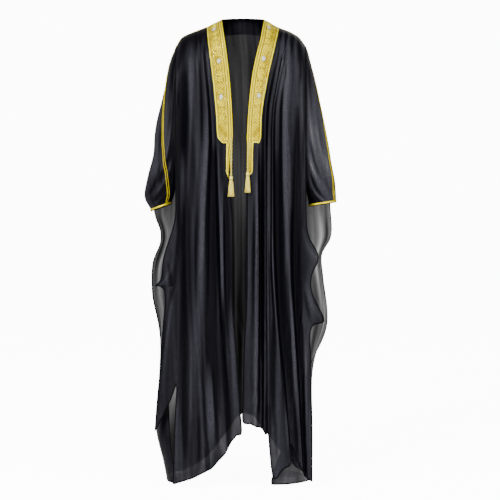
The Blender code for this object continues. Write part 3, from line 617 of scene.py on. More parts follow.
# %% Hang the cords and tassels
# side, route and half the width of the tassel's foot
for side, route, spread in (("left", CORD_LEFT, 10.6 * MM), ("right", CORD_RIGHT, 9.2 * MM)):
    line = spline_through(route, 1.2 * MM)
    cord = joined("gold_cord_" + side, [sweep(line, lobed(CORD_RADIUS, 2, 0.30, 16), CORD_TURNS)])
    dress(cord, tassel_thread)
    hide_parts("cord_" + side)
    piece = tassel("gold_tassel_" + side, route[-1], spread)
    dress(piece, tassel_thread)
    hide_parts("tassel_" + side)
    length = float(lengths_along(line)[-1])
    print(cord.name, "length", round(length, 4))

# %% [markdown]
# ## Backdrop
#
# A plane is the floor. Its far edge is pulled up into a wall and the fold is bevelled round, so
# no edge shows. The paper glows for the camera alone, so it looks nearly white while the light
# on the cloth stays soft. It glows much less where it is seen through cloth, so that the sheer
# cloth looks as it does in a real studio.

# %% Backdrop
WORLD_LIGHT = 0.45
PAPER_LIGHT = 12.0
BEHIND_LIGHT = 0.45
WHITE = (1.0, 1.0, 1.0, 1.0)
PAPER = (0.93, 0.93, 0.92, 1.0)
FLOOR_SIZE = 16.0
WALL_HEIGHT = 8.0
FOLD_SIZE = 3.0


def camera_rays(tree):
    """1 for all rays from the camera, and 1 for those that have passed no cloth, else 0."""
    path = add_node(tree, "LightPath")
    bare = calc(tree, "LESS_THAN", path.outputs["Transparent Depth"], 0.5)
    return path.outputs["Is Camera Ray"], calc(tree, "MULTIPLY", path.outputs["Is Camera Ray"], bare)


def select_far_edge(piece):
    """In edit mode, select the floor's far edge alone."""
    bpy.ops.mesh.select_all(action="DESELECT")
    shape = bmesh.from_edit_mesh(piece.data)
    for edge in shape.edges:
        edge.select = all(vertex.co.y > 0.49 * FLOOR_SIZE and vertex.co.z < 0.1 for vertex in edge.verts)
    bmesh.update_edit_mesh(piece.data)


bpy.ops.object.select_all(action="DESELECT")
bpy.ops.mesh.primitive_plane_add(size=FLOOR_SIZE, location=(0, 0, FLOOR))
floor = bpy.context.object
floor.name = "floor"
bpy.ops.object.mode_set(mode="EDIT")
select_far_edge(floor)
bpy.ops.mesh.extrude_region_move(TRANSFORM_OT_translate={"value": (0, 0, WALL_HEIGHT)})
select_far_edge(floor)
bpy.ops.mesh.bevel(offset=FOLD_SIZE, segments=16)
bpy.ops.object.mode_set(mode="OBJECT")
bpy.ops.object.shade_smooth()
backdrop, shader = new_material("backdrop_paper", 0.9)
shader.inputs["Base Color"].default_value = PAPER
shader.inputs["Emission Color"].default_value = WHITE
tree = backdrop.node_tree
camera_ray, bare_ray = camera_rays(tree)
behind = calc(tree, "MULTIPLY", camera_ray, BEHIND_LIGHT)
direct = calc(tree, "MULTIPLY", bare_ray, PAPER_LIGHT - 1.0)
feed(shader.inputs["Emission Strength"], calc(tree, "ADD", behind, direct))
floor.data.materials.append(backdrop)

world = bpy.data.worlds.new("studio")
world.use_nodes = True
tree = world.node_tree
glow = calc(tree, "MULTIPLY", camera_rays(tree)[1], PAPER_LIGHT - WORLD_LIGHT)
feed(tree.nodes["Background"].inputs["Strength"], calc(tree, "ADD", glow, WORLD_LIGHT))
tree.nodes["Background"].inputs["Color"].default_value = WHITE
bpy.context.scene.world = world
print("floor at", FLOOR)

# %% [markdown]
# ## Cloth
#
# Each panel starts as the outer skin of its solid. The skin becomes a sheet of quads, is
# smoothed so that it still passes through its own points, and then gets its creases: soft
# troughs and ridges along lines that are placed from the picture, uneven in length and
# depth. A point attribute, layers_and_shade, says how many layers of gathered cloth lie there; it also
# holds painted shade in troughs and a painted highlight on ridges.

# %% Skin of a solid
# the solid's wall, how exactly its rim is known by it, and how near points are welded
WALL = 1.2 * MM
WALL_SLACK = 0.03 * MM
WELD = 0.01 * MM
# faces that are nearer than this to a band's solid lie under the band
UNDER_BAND = 0.7 * MM
SHEET_LEVELS = 3
SMOOTH_ROUNDS = 10
# a place on the upright line through the body's middle, and what keeps a direction level
BODY_AXIS = Vector((0.0, 0.01, 0.0))
LEVEL = Vector((1, 1, 0))


def island_of(start):
    """The faces that are joined to one face."""
    found, queue = {start}, [start]
    while queue:
        for edge in queue.pop().edges:
            fresh = [face for face in edge.link_faces if face not in found]
            found.update(fresh)
            queue += fresh
    return found


def skin_of(node, name, band=None):
    """The outer skin of a cloth node as a sheet of quads. Faces under a band get index 1."""
    shape = bmesh.new()
    shape.from_mesh(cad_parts[node].data)
    bmesh.ops.remove_doubles(shape, verts=shape.verts, dist=WELD)
    rim = [face for face in shape.faces
           if any(abs(edge.calc_length() - WALL) < WALL_SLACK for edge in face.edges)]
    bmesh.ops.delete(shape, geom=rim, context="FACES")
    first = island_of(next(iter(shape.faces)))
    outward = sum(face.normal.dot((face.calc_center_median() - BODY_AXIS) * LEVEL) * face.calc_area()
                  for face in first)
    others = [face for face in shape.faces if (face in first) == (outward < 0)]
    bmesh.ops.delete(shape, geom=others, context="FACES")
    if band:
        tree = surface_tree(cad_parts[band])
        for face in shape.faces:
            face.material_index = int(tree.find_nearest(face.calc_center_median())[3] < UNDER_BAND)
    bmesh.ops.join_triangles(shape, faces=shape.faces, cmp_materials=True,
                             angle_face_threshold=math.pi, angle_shape_threshold=math.pi)
    piece = new_piece(name, [], [])
    shape.to_mesh(piece.data)
    shape.free()
    if band:
        piece.data.materials.append(voile)
        piece.data.materials.append(embroidery)
    return piece


def lay_out(piece, label):
    """Unwrap a sheet flat, turned with its length upright, in metres."""
    activate(piece)
    mesh = piece.data
    mesh.uv_layers.new(name=label)
    bpy.ops.object.mode_set(mode="EDIT")
    bpy.ops.mesh.select_all(action="SELECT")
    bpy.ops.uv.unwrap(method="CONFORMAL", margin=0.0)
    bpy.ops.object.mode_set(mode="OBJECT")
    layer = mesh.uv_layers[label].data
    flat = np.empty(len(layer) * 2)
    layer.foreach_get("uv", flat)
    flat = flat.reshape(-1, 2)
    flat -= flat.mean(0)
    heights = read_points(mesh)[[index for face in read_faces(mesh) for index in face], 2]
    heights = heights - heights.mean()
    turn = math.atan2(float(flat[:, 0] @ heights), float(flat[:, 1] @ heights))
    flat = flat @ np.array([[math.cos(turn), math.sin(turn)], [-math.sin(turn), math.cos(turn)]])
    flat *= math.sqrt(float(heights @ heights) / float(flat[:, 1] @ flat[:, 1]))
    layer.foreach_set("uv", flat.ravel())


def smooth_through_points(piece):
    """Subdivide a sheet so that the smooth cloth still passes through the sheet's points."""
    goal = read_points(piece.data)
    control = goal.copy()
    smooth = piece.modifiers.new("smooth", "SUBSURF")
    smooth.levels = smooth.render_levels = SHEET_LEVELS
    smooth.boundary_smooth = "PRESERVE_CORNERS"
    for _ in range(SMOOTH_ROUNDS):
        graph = bpy.context.evaluated_depsgraph_get()
        control += goal - read_points(piece.evaluated_get(graph).data)[:len(goal)]
        write_points(piece.data, control)
    activate(piece)
    bpy.ops.object.modifier_apply(modifier=smooth.name)
    off = np.linalg.norm(read_points(piece.data)[:len(goal)] - goal, axis=1).max()
    print(piece.name, len(piece.data.polygons), "quads, off its points by", round(off / MM, 3), "mm")


# %% Make the five sheets
WITH_BANDS = (("front_left", "band_left"), ("front_right", "band_right"), ("back", "band_neck"))
SHEETS = {}
for node, band in WITH_BANDS + (("sleeve_left", None), ("sleeve_right", None)):
    SHEETS[node] = skin_of(node, "cloth_" + node, band)
    lay_out(SHEETS[node], "cloth")
    smooth_through_points(SHEETS[node])

# %% [markdown]
# ## Creases
#
# A crease is a line through three places, in mm: across and height, or front-to-back and
# height for the side parts. It has a width and a height, which is negative for a trough.

# %% Crease tables
# first place, second place, third place, width, height, all in mm
CREASES_FRONT_LEFT = (
    (-131, -40, -132, -90, -136, -190, 4, -1.0), (-122, -38, -122, -95, -119, -210, 4, 0.9),
    (-144, -45, -147, -110, -153, -240, 4, -1.0), (-157, -50, -162, -110, -170, -230, 5, 0.8),
    (-136, -150, -132, -260, -127, -430, 6, -1.8), (-150, -110, -160, -300, -174, -620, 6, 1.3),
    (-87, -420, -85, -600, -80, -1010, 5, -2.2), (-74, -430, -70, -600, -60, -930, 5, 1.6),
    (-117, -480, -122, -660, -126, -820, 5, 1.4), (-100, -700, -104, -900, -113, -1210, 5, -1.4),
    (-162, -980, -163, -1200, -167, -1420, 6, 1.7), (-184, -1050, -188, -1250, -182, -1460, 6, -1.9),
    (-95, -1120, -92, -1250, -84, -1390, 5, 1.5), (-62, -1060, -49, -1200, -38, -1350, 7, -1.9),
    (-38, -880, -23, -1130, -8, -1340, 6, 1.5), (-200, -690, -213, -800, -228, -960, 7, -1.8),
    (-214, -880, -240, -1010, -264, -1230, 7, 1.7), (-230, -905, -252, -1060, -274, -1290, 6, -1.5),
    (-281, -884, -250, -862, -222, -800, 6, 1.6), (-246, -800, -232, -850, -224, -930, 6, -1.5),
    (-145, -620, -150, -760, -148, -940, 5, -1.2), (-52, -560, -46, -700, -42, -880, 5, -1.0),
    (-195, -420, -192, -520, -196, -660, 6, 1.2), (-206, -1250, -214, -1360, -208, -1500, 6, 1.5),
    (-136, -1290, -134, -1380, -131, -1470, 5, -1.5), (-66, -1290, -64, -1360, -60, -1420, 4, 1.2),
    (-135, -75, -150, -150, -163, -290, 12, 1.1), (-111, -320, -128, -720, -156, -1290, 15, 3.0),
    (-61, -540, -60, -780, -64, -990, 7, 3.2), (-97, -430, -97, -760, -88, -1260, 12, -3.0),
    (-188, -560, -186, -900, -192, -1380, 24, -2.2), (-42, -560, -42, -800, -36, -1020, 7, -2.4),
    (-106, -1120, -100, -1280, -92, -1430, 16, 2.4), (-184, -160, -188, -300, -190, -480, 14, -1.8),
)
CREASES_FRONT_RIGHT = (
    (130, -30, 127, -80, 122, -170, 3.5, -1.3), (139, -34, 137, -85, 134, -190, 3.5, 1.3),
    (147, -37, 146, -90, 143, -200, 3.5, -1.4), (156, -40, 156, -95, 152, -210, 3.5, 1.3),
    (166, -44, 167, -95, 164, -190, 4, -1.3), (177, -50, 180, -100, 182, -210, 4, 1.2),
    (188, -58, 192, -110, 196, -220, 4, -1.1), (62, -430, 64, -800, 63, -1290, 4, -2.3),
    (53, -480, 53, -800, 52, -1270, 4, 1.3), (101, -700, 110, -900, 128, -1220, 5, 1.5),
    (88, -680, 92, -950, 96, -1230, 4, -1.7), (158, -740, 165, -960, 181, -1220, 6, 1.6),
    (124, -830, 129, -1000, 142, -1260, 5, -1.7), (168, -640, 178, -900, 191, -1220, 6, -1.7),
    (196, -200, 201, -310, 206, -470, 5, 1.3), (184, -260, 186, -400, 188, -580, 5, -1.3),
    (40, -600, 38, -800, 36, -1050, 5, -1.1), (128, -300, 126, -460, 128, -660, 5, -1.4),
    (152, -320, 158, -480, 160, -640, 5, 1.1), (205, -690, 226, -760, 250, -790, 7, 1.6),
    (214, -860, 232, -930, 268, -995, 7, 1.8), (210, -900, 225, -970, 240, -1010, 6, -1.6),
    (216, -1040, 214, -1180, 212, -1400, 5, 1.4), (200, -1100, 202, -1260, 206, -1440, 5, -1.6),
    (146, -1280, 150, -1350, 156, -1410, 5, 1.4), (172, -1240, 176, -1340, 184, -1430, 5, -1.6),
    (112, -1300, 114, -1380, 118, -1460, 4, -1.3), (222, -1250, 226, -1350, 229, -1480, 4, 1.2),
    (51, -540, 54, -880, 50, -1290, 8, 3.6), (71, -460, 71, -860, 72, -1300, 6, -1.3),
    (142, -220, 150, -480, 153, -830, 12, 3.2), (119, -440, 121, -780, 150, -1290, 8, -2.8),
    (138, -50, 146, -150, 150, -330, 24, 2.2), (89, -400, 90, -780, 88, -1260, 8, 2.2),
    (186, -300, 181, -680, 187, -1040, 11, -3.2), (103, -980, 103, -1130, 104, -1330, 6, -2.8),
    (164, -900, 172, -1080, 186, -1300, 9, 2.4), (212, -120, 214, -240, 212, -380, 9, -1.8),
)
CREASES_BACK = (
    (-175, -50, -178, -130, -182, -300, 5, -1.3), (-150, -42, -152, -130, -156, -320, 5, 1.2),
    (-128, -60, -127, -150, -124, -330, 5, -1.2), (-96, -70, -92, -160, -86, -340, 5, 1.1),
    (-70, -80, -66, -180, -60, -360, 5, -1.1), (128, -60, 126, -150, 122, -320, 5, -1.2),
    (150, -45, 154, -140, 160, -310, 5, 1.2), (176, -52, 180, -130, 184, -280, 5, -1.2),
    (98, -70, 94, -160, 88, -330, 5, 1.1), (66, -80, 62, -190, 56, -380, 5, -1.0),
    (-176, -420, -178, -640, -172, -900, 6, 1.5), (-150, -520, -146, -800, -142, -1100, 6, -1.6),
    (-118, -380, -116, -640, -112, -980, 5, 1.4), (-92, -600, -90, -880, -86, -1200, 6, -1.6),
    (-64, -420, -60, -700, -56, -1040, 5, 1.4), (-34, -560, -32, -860, -28, -1180, 6, -1.5),
    (-6, -400, -4, -660, -2, -960, 5, 1.2), (26, -540, 24, -820, 26, -1160, 6, -1.6),
    (52, -420, 50, -700, 54, -1000, 5, 1.3), (78, -600, 80, -880, 84, -1220, 6, -1.6),
    (108, -380, 110, -660, 112, -960, 5, 1.4), (140, -520, 138, -800, 142, -1120, 6, -1.5),
    (168, -420, 166, -660, 170, -900, 6, 1.4), (190, -700, 194, -900, 200, -1180, 6, -1.5),
    (-196, -760, -198, -960, -206, -1240, 6, -1.5), (-120, -1150, -118, -1300, -116, -1440, 5, 1.5),
    (-52, -1120, -50, -1240, -46, -1370, 5, -1.4), (30, -1080, 32, -1200, 34, -1320, 5, 1.4),
    (104, -1160, 108, -1290, 114, -1430, 5, -1.5), (176, -1180, 180, -1320, 186, -1490, 6, 1.5),
)
CREASES_SIDE = (
    (60, -660, 40, -760, 6, -900, 9, -2.2), (85, -640, 74, -800, 62, -1000, 9, 1.8),
    (20, -760, -10, -880, -40, -980, 8, 1.8), (92, -820, 88, -1020, 92, -1260, 8, -1.9),
    (48, -900, 40, -1080, 44, -1300, 8, 1.8), (10, -980, 2, -1150, 6, -1400, 8, -2.0),
    (-30, -1010, -34, -1180, -44, -1380, 7, 1.6), (70, -1120, 72, -1290, 70, -1480, 7, 1.6),
    (110, -1000, 116, -1200, 122, -1440, 7, 1.5), (-60, -1200, -62, -1330, -66, -1490, 6, -1.4),
)
CREASES_SLEEVE_FRONT = (
    (222, -130, 228, -240, 234, -380, 5, -1.4), (234, -170, 246, -290, 256, -420, 5, 1.3),
    (226, -330, 240, -430, 262, -510, 6, 1.9), (224, -400, 244, -480, 280, -545, 6, -2.2),
    (222, -450, 246, -528, 286, -580, 6, 2.0), (226, -510, 250, -566, 290, -600, 5, -1.7),
    (250, -300, 266, -400, 284, -470, 6, -1.5), (268, -390, 284, -470, 300, -530, 6, 1.6),
    (262, -470, 284, -540, 304, -576, 5, -1.5), (236, -560, 256, -588, 284, -608, 4, 1.2),
)
CREASES_SLEEVE_BACK = (
    (224, -140, 230, -250, 236, -400, 6, 1.4), (238, -190, 250, -310, 258, -450, 6, -1.5),
    (226, -360, 246, -440, 272, -500, 7, -2.0), (224, -430, 250, -510, 284, -560, 7, 2.0),
    (252, -320, 270, -420, 290, -500, 6, 1.4), (236, -520, 262, -570, 292, -596, 5, -1.6),
)

# %% Crease a sheet
# creases fade out within this distance of a band
BAND_MARGIN = 10 * MM
# layers of cloth that a trough adds and a ridge takes away for each mm of its height, which is painted
# shade in troughs and a painted highlight on ridges
TROUGH_SHADE_LAYERS = 0.20
RIDGE_HIGHLIGHT_LAYERS = 0.17
LEAST_LAYERS = 0.8
# half the body's width and depth, and how steep the cloth is counted at most
BODY_HALF = (0.27, 0.15)
LEAST_LEAN = 0.34


def distance_to_line(places, line):
    """Distance of each place to a line of points, and how far along the line it is, 0 to 1."""
    best = np.full(len(places), 1e9)
    share = np.zeros(len(places))
    count = len(line) - 1
    for k in range(count):
        start, way = line[k], line[k + 1] - line[k]
        t = np.clip(((places - start) @ way) / (way @ way), 0, 1)
        far = np.linalg.norm(places - start - t[:, None] * way, axis=1)
        closer = far < best
        best[closer] = far[closer]
        share[closer] = (k + t[closer]) / count
    return best, share


def distance_to_points(places, points):
    """Distance of each place to the nearest of some points."""
    tree = point_tree(points)
    return np.array([tree.find(place)[2] for place in places])


def crease_heights(piece, rows, axis, facing, mirror=1):
    """How far the creases of a table lift each point, for cloth that faces one way."""
    points, normals = read_points(piece.data), read_points(piece.data, "normal")
    places = points[:, [axis, 2]] * np.array([mirror, 1.0])
    t = np.linspace(0, 1, 9)[:, None]
    lift = np.zeros(len(points))
    for *bend, width, height in rows:
        first, middle, last = np.reshape(bend, (3, 2)) * MM
        through = 2 * middle - (first + last) / 2
        line = (1 - t) ** 2 * first + 2 * t * (1 - t) * through + t * t * last
        far, share = distance_to_line(places, line)
        taper = np.sin(np.pi * np.clip(share, 0.02, 0.98)) ** 0.6
        spread = width * MM * (0.8 + 0.5 * share)
        lift += height * MM * np.exp(-(far / spread) ** 2) * taper
    return lift * np.clip(normals[:, 1 - axis] * facing * 1.6 + 0.1, 0, 1)


def under_band(mesh):
    """The faces of a sheet that lie under a band, and the numbers of their points."""
    faces = [tuple(polygon.vertices) for polygon in mesh.polygons if polygon.material_index == 1]
    return faces, sorted({index for face in faces for index in face})


def crease(piece, lift):
    """Move the cloth out by its creases, but not under a band."""
    mesh = piece.data
    points = read_points(mesh)
    _, under = under_band(mesh)
    if under:
        lift = lift * np.clip(distance_to_points(points, points[under]) / BAND_MARGIN, 0, 1)
    write_points(mesh, points + read_points(mesh, "normal") * lift[:, None])
    return lift


def layers_and_shade(piece, lift, gathered):
    """How many layers of cloth lie at each point: more where it is steep or in a trough, fewer on a ridge,
    which paints shade in troughs and a highlight on ridges.
    """
    outward = (read_points(piece.data)[:, :2] - BODY_AXIS[:2]) / np.square(BODY_HALF)
    outward /= np.linalg.norm(outward, axis=1)[:, None]
    lean = np.abs((read_points(piece.data, "normal")[:, :2] * outward).sum(1))
    layers = gathered * (0.35 + 0.65 / np.clip(lean, LEAST_LEAN, 1.0))
    layers += np.clip(-lift, 0, None) / MM * TROUGH_SHADE_LAYERS - np.clip(lift, 0, None) / MM * RIDGE_HIGHLIGHT_LAYERS
    layers = np.maximum(layers, LEAST_LAYERS)
    write_values(piece, "layers_and_shade", layers)
    print(piece.name, "layers_and_shade", round(float(layers.min()), 2), "to", round(float(layers.max()), 2))


def ease(values, low, high):
    """0 below low, 1 above high, smooth between."""
    t = np.clip((values - low) / (high - low), 0, 1)
    return t * t * (3 - 2 * t)


# %% Crease all sheets
# the fronts and the back are gathered; the side parts of the back and the sleeves lie single
FRONTS = (("front_left", CREASES_FRONT_LEFT, 1.60), ("front_right", CREASES_FRONT_RIGHT, 1.52))
SLEEVES = (("sleeve_left", -1, 1.42), ("sleeve_right", 1, 1.09))
BACK_FULL = 1.55
SIDE_FULL_LEFT = 1.32
SIDE_FULL_RIGHT = 1.18
# what is added low on the left side part and high on the sleeves
LOW_MORE = 0.38
HIGH_MORE = 0.35
for node, rows, full in FRONTS:
    piece = SHEETS[node]
    layers_and_shade(piece, crease(piece, crease_heights(piece, rows, 0, -1)), full)
piece = SHEETS["back"]
lift = crease_heights(piece, CREASES_BACK, 0, 1)
lift += crease_heights(piece, CREASES_SIDE, 1, 1) + crease_heights(piece, CREASES_SIDE, 1, -1)
lift = crease(piece, lift)
across, _, height = read_points(piece.data).T
low = 1 - ease(height, -1.42, -1.22)
side_full = np.where(across < 0, SIDE_FULL_LEFT + LOW_MORE * low, SIDE_FULL_RIGHT)
layers_and_shade(piece, lift, side_full + (BACK_FULL - side_full) * (1 - ease(np.abs(across), 0.170, 0.225)))
for node, mirror, full in SLEEVES:
    piece = SHEETS[node]
    lift = crease_heights(piece, CREASES_SLEEVE_FRONT, 0, -1, mirror)
    lift += crease_heights(piece, CREASES_SLEEVE_BACK, 0, 1, mirror)
    lift = crease(piece, lift)
    layers_and_shade(piece, lift, full + HIGH_MORE * ease(read_points(piece.data)[:, 2], -0.38, -0.14))

# %% [markdown]
# ## Bands
#
# A band is a stiff strip of embroidery sewn on the cloth. It is made from the quads of the
# sheet that lie under it, moved out and given its thickness, so it follows the cloth exactly.

# %% Band from a sheet
BAND_LIFT = 0.7 * MM
BAND_THICKNESS = 1.0 * MM
# the front bands end at the shoulder seam, which is this far back, and the neck band's inner
# edge runs between two places
SHOULDER_BACK = 0.010
SHOULDER_SLACK = 0.6 * MM
NECK_ENDS = (-0.0645, 0.0775)
# edge points further than this from the inner edge are on the outer one
INNER_REACH = 2.5 * MM


def free_edges(mesh):
    """Chains of point numbers along the free edges of a sheet."""
    shape = bmesh.new()
    shape.from_mesh(mesh)
    free = dict.fromkeys(edge for edge in shape.edges if edge.is_boundary)
    chains = []
    while free:
        chain = list(free.popitem()[0].verts)
        for _ in range(2):
            while more := [edge for edge in chain[-1].link_edges if edge in free]:
                free.pop(more[0])
                chain.append(more[0].other_vert(chain[-1]))
            chain.reverse()
        chains.append([vertex.index for vertex in chain])
    shape.free()
    return chains


def runs_of(flags):
    """The numbers of neighbours that share a flag, run by run."""
    return np.split(np.arange(len(flags)), np.where(np.diff(flags.astype(int)) != 0)[0] + 1)


def band_of(node, name):
    """Lift the quads under a band off their sheet, and map them along and across in metres."""
    source = SHEETS[node].data
    faces, used = under_band(source)
    number = {index: k for k, index in enumerate(used)}
    base = read_points(source)[used]
    piece = new_piece(name, base + read_points(source, "normal")[used] * BAND_LIFT,
                      [[number[index] for index in face] for face in faces])
    rim = base[[number[index] for index in sorted(set(sum(free_edges(source), []))) if index in number]]
    if node == "back":
        line = rim[(rim[:, 0] > NECK_ENDS[0]) & (rim[:, 0] < NECK_ENDS[1])]
        line = line[np.argsort(line[:, 0])]
    else:
        line = rim[np.abs(rim[:, 1] - SHOULDER_BACK) >= SHOULDER_SLACK]
        line = line[np.argsort(-line[:, 2])]
    along = lengths_along(line)
    v, share = distance_to_line(base, line)
    u = np.interp(share * (len(line) - 1), np.arange(len(line)), along)
    points = read_points(piece.data)
    edge = points[sum(free_edges(piece.data), [])]
    outer = edge[distance_to_points(edge, line) > INNER_REACH]
    write_values(piece, "edge", distance_to_points(points, outer))
    corners = [index for face in read_faces(piece.data) for index in face]
    piece.data.uv_layers.new(name="band").data.foreach_set("uv", np.stack([u, v], axis=1)[corners].ravel())
    print(name, "length", round(float(along[-1]), 3), "broadest", round(float(v.max()), 4))
    return piece, line


BANDS = {name: band_of(node, "embroidery_" + name) for node, name in WITH_BANDS}

# %% Thicken the bands and edge them
EDGE_CORD = lobed(1.15 * MM, 3, 0.16, 8)
EDGE_LIFT = 0.6 * MM
PIPING_REACH = 2.2 * MM
SHORTEST_RUN = 6
for name, (piece, line) in BANDS.items():
    raised = read_points(piece.data) + read_points(piece.data, "normal") * EDGE_LIFT
    chains = [raised[chain] for chain in free_edges(piece.data)]
    thick = piece.modifiers.new("thickness", "SOLIDIFY")
    thick.thickness = BAND_THICKNESS
    thick.offset = 1.0
    activate(piece)
    bpy.ops.object.modifier_apply(modifier=thick.name)
    dress(piece, embroidery)
    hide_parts(name)
    cords = {"edging": [], "piping": []}
    for chain in chains:
        near = distance_to_points(chain, line) < PIPING_REACH
        for run in runs_of(near):
            if len(run) >= SHORTEST_RUN:
                path = spline_through(chain[run][::2], 1.5 * MM)
                cords["piping" if near[run[0]] else "edging"].append(sweep(path, EDGE_CORD, 330.0))
    for kind, finish in (("edging", cream_thread), ("piping", orange_thread)):
        if cords[kind]:
            dress(joined(f"{kind}_{name}", cords[kind]), finish)

# %% [markdown]
# ## Hems and seams
#
# The cloth's free edges are rolled and stitched, so they look like thin dark lines. Each is a
# fine tube along the edge of its sheet. The armhole seams are the same.

# %% Hems
HEM = oval(2.5 * MM, 0.8 * MM, 6)
# how far from the middle the armhole seams are, and how low they reach on the fronts and sleeves
ARMHOLE = 0.214
FRONT_SEAM_LOW = -0.43
SLEEVE_SEAM_LOW = -0.50
# the back's free edges: below the armholes, and round the neck
BACK_HEM_HIGH = -0.432
NECK_HALF = 0.08


def smooth_line(line, times=1):
    """Smooth a line of points, but not its ends."""
    for _ in range(times):
        line[1:-1] = (line[:-2] + 2 * line[1:-1] + line[2:]) / 4
    return line


def hem_of(node, name, keep):
    """A thin tube along the free edges of a sheet that pass a test."""
    mesh = SHEETS[node].data
    parts = []
    for chain in free_edges(mesh):
        points, outs = read_points(mesh)[chain], read_points(mesh, "normal")[chain]
        held = np.array([keep(*point) for point in points])
        for run in runs_of(held):
            if held[run[0]] and len(run) > 3:
                picked = run[::2] if len(run) % 2 else np.append(run[::2], run[-1])
                ups = outs[picked]
                for _ in range(4):
                    ups = smooth_line(ups)
                    ups /= np.linalg.norm(ups, axis=1)[:, None]
                parts.append(sweep(points[picked], HEM, up=ups))
    return dress(joined(name, parts), hem_cloth)


def from_armhole(x):
    """Distance to the armhole seam of the same side."""
    return abs(abs(x) - ARMHOLE)


def on_front(x, y, z):
    """Whether a front's edge point is part of its hem."""
    return y < 0.0 and not (from_armhole(x) < MM and z > FRONT_SEAM_LOW)


def on_back(x, y, z):
    """Whether a back's edge point is part of its hems."""
    return z < BACK_HEM_HIGH or (z > 0.0 and abs(x) < NECK_HALF)


def on_sleeve(x, y, z):
    """Whether a sleeve's edge point is part of its seam."""
    return from_armhole(x) < 3 * MM and z > SLEEVE_SEAM_LOW


for node, kind, keep in (("front_left", "hem_", on_front), ("front_right", "hem_", on_front),
                         ("back", "hem_", on_back), ("sleeve_left", "seam_", on_sleeve),
                         ("sleeve_right", "seam_", on_sleeve)):
    hem_of(node, kind + node, keep)

CUTS = (
    ("front_left", 0.30, 1.50),
    ("front_right", 0.31, 1.50),
    ("back", 0.78, 1.56),
    ("sleeve_left", 0.30, 0.54),
    ("sleeve_right", 0.30, 0.52),
)
for node, width, length in CUTS:
    piece = dress(SHEETS[node], voile)
    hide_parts(node)
    area = sum(polygon.area for polygon in piece.data.polygons)
    print(piece.name, "area", round(area, 3), "cut", round(width * length, 3))

# %% [markdown]
# ## Braid and cuffs
#
# Two gold cords lie side by side along each shoulder seam and down the sleeve. The wrist
# opening is bound with a flat gold binding between two fine cords.

# %% Braid
# the solid braid's route in mm: across, front to back, height
BRAID_LEFT = (
    (-115, 10, -15), (-121, 10, -17), (-142, 10, -25), (-163, 10, -33), (-184, 10, -42), (-197, 10, -49),
    (-208, 10, -61), (-218, 9, -78), (-226, 4, -98), (-236, -3, -124), (-245, -18, -159),
    (-253, -48, -225), (-258, -70, -300), (-260, -83, -385), (-256, -86, -440), (-250, -83, -490),
    (-243, -71, -533), (-240, -58, -575), (-239, -53, -606),
)
BRAID_RIGHT = (
    (127, 10, -17), (134, 10, -19), (152, 10, -26), (170, 10, -34), (189, 10, -45), (200, 10, -55),
    (210, 10, -67), (218, 9, -80), (225, 2, -98), (232, -10, -126), (240, -25, -159), (251, -38, -205),
    (264, -39, -265), (275, -37, -320), (285, -42, -385), (294, -43, -440), (303, -38, -495),
    (309, -36, -535), (312, -37, -570), (313, -37, -598),
)
BRAID_CORD = lobed(1.6 * MM, 3, 0.16, 9)
BRAID_APART = 3.2 * MM
BRAID_HEIGHT = 1.2 * MM


def rest_on(tree, point, near):
    """The place of a cord's middle when it rests on the cloth at a point, and its way out."""
    spot, normal, _, _ = tree.find_nearest(Vector(point))
    out = Vector(point) - spot
    out = out.normalized() if out.length > near else normal
    return spot + out * BRAID_HEIGHT, out


def braid(name, route, pieces):
    """Two twisted cords side by side, resting on the cloth along a route."""
    tree = surface_tree(*pieces)
    steps = spline_through(np.array(route) * MM, 5 * MM)
    middle, outs = np.array([rest_on(tree, point, 0.5 * MM) for point in steps]).transpose(1, 0, 2)
    line = spline_through(smooth_line(middle, 3), 1.6 * MM)
    outs = outs[np.round(np.linspace(0, len(outs) - 1, len(line))).astype(int)]
    sides, _ = frames_along(line, False, outs)
    parts = []
    for way in (-1, 1):
        cord = np.array([rest_on(tree, point, 0.3 * MM)[0] for point in line + sides * BRAID_APART * way])
        parts.append(sweep(smooth_line(cord, 2), BRAID_CORD, 150.0 * way, up=outs))
    return joined(name, parts)


for side, route in (("left", BRAID_LEFT), ("right", BRAID_RIGHT)):
    pieces = [SHEETS[node] for node in ("front_" + side, "back", "sleeve_" + side)]
    piece = dress(braid("gold_braid_" + side, route, pieces), gold_thread)
    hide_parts("braid_" + side)

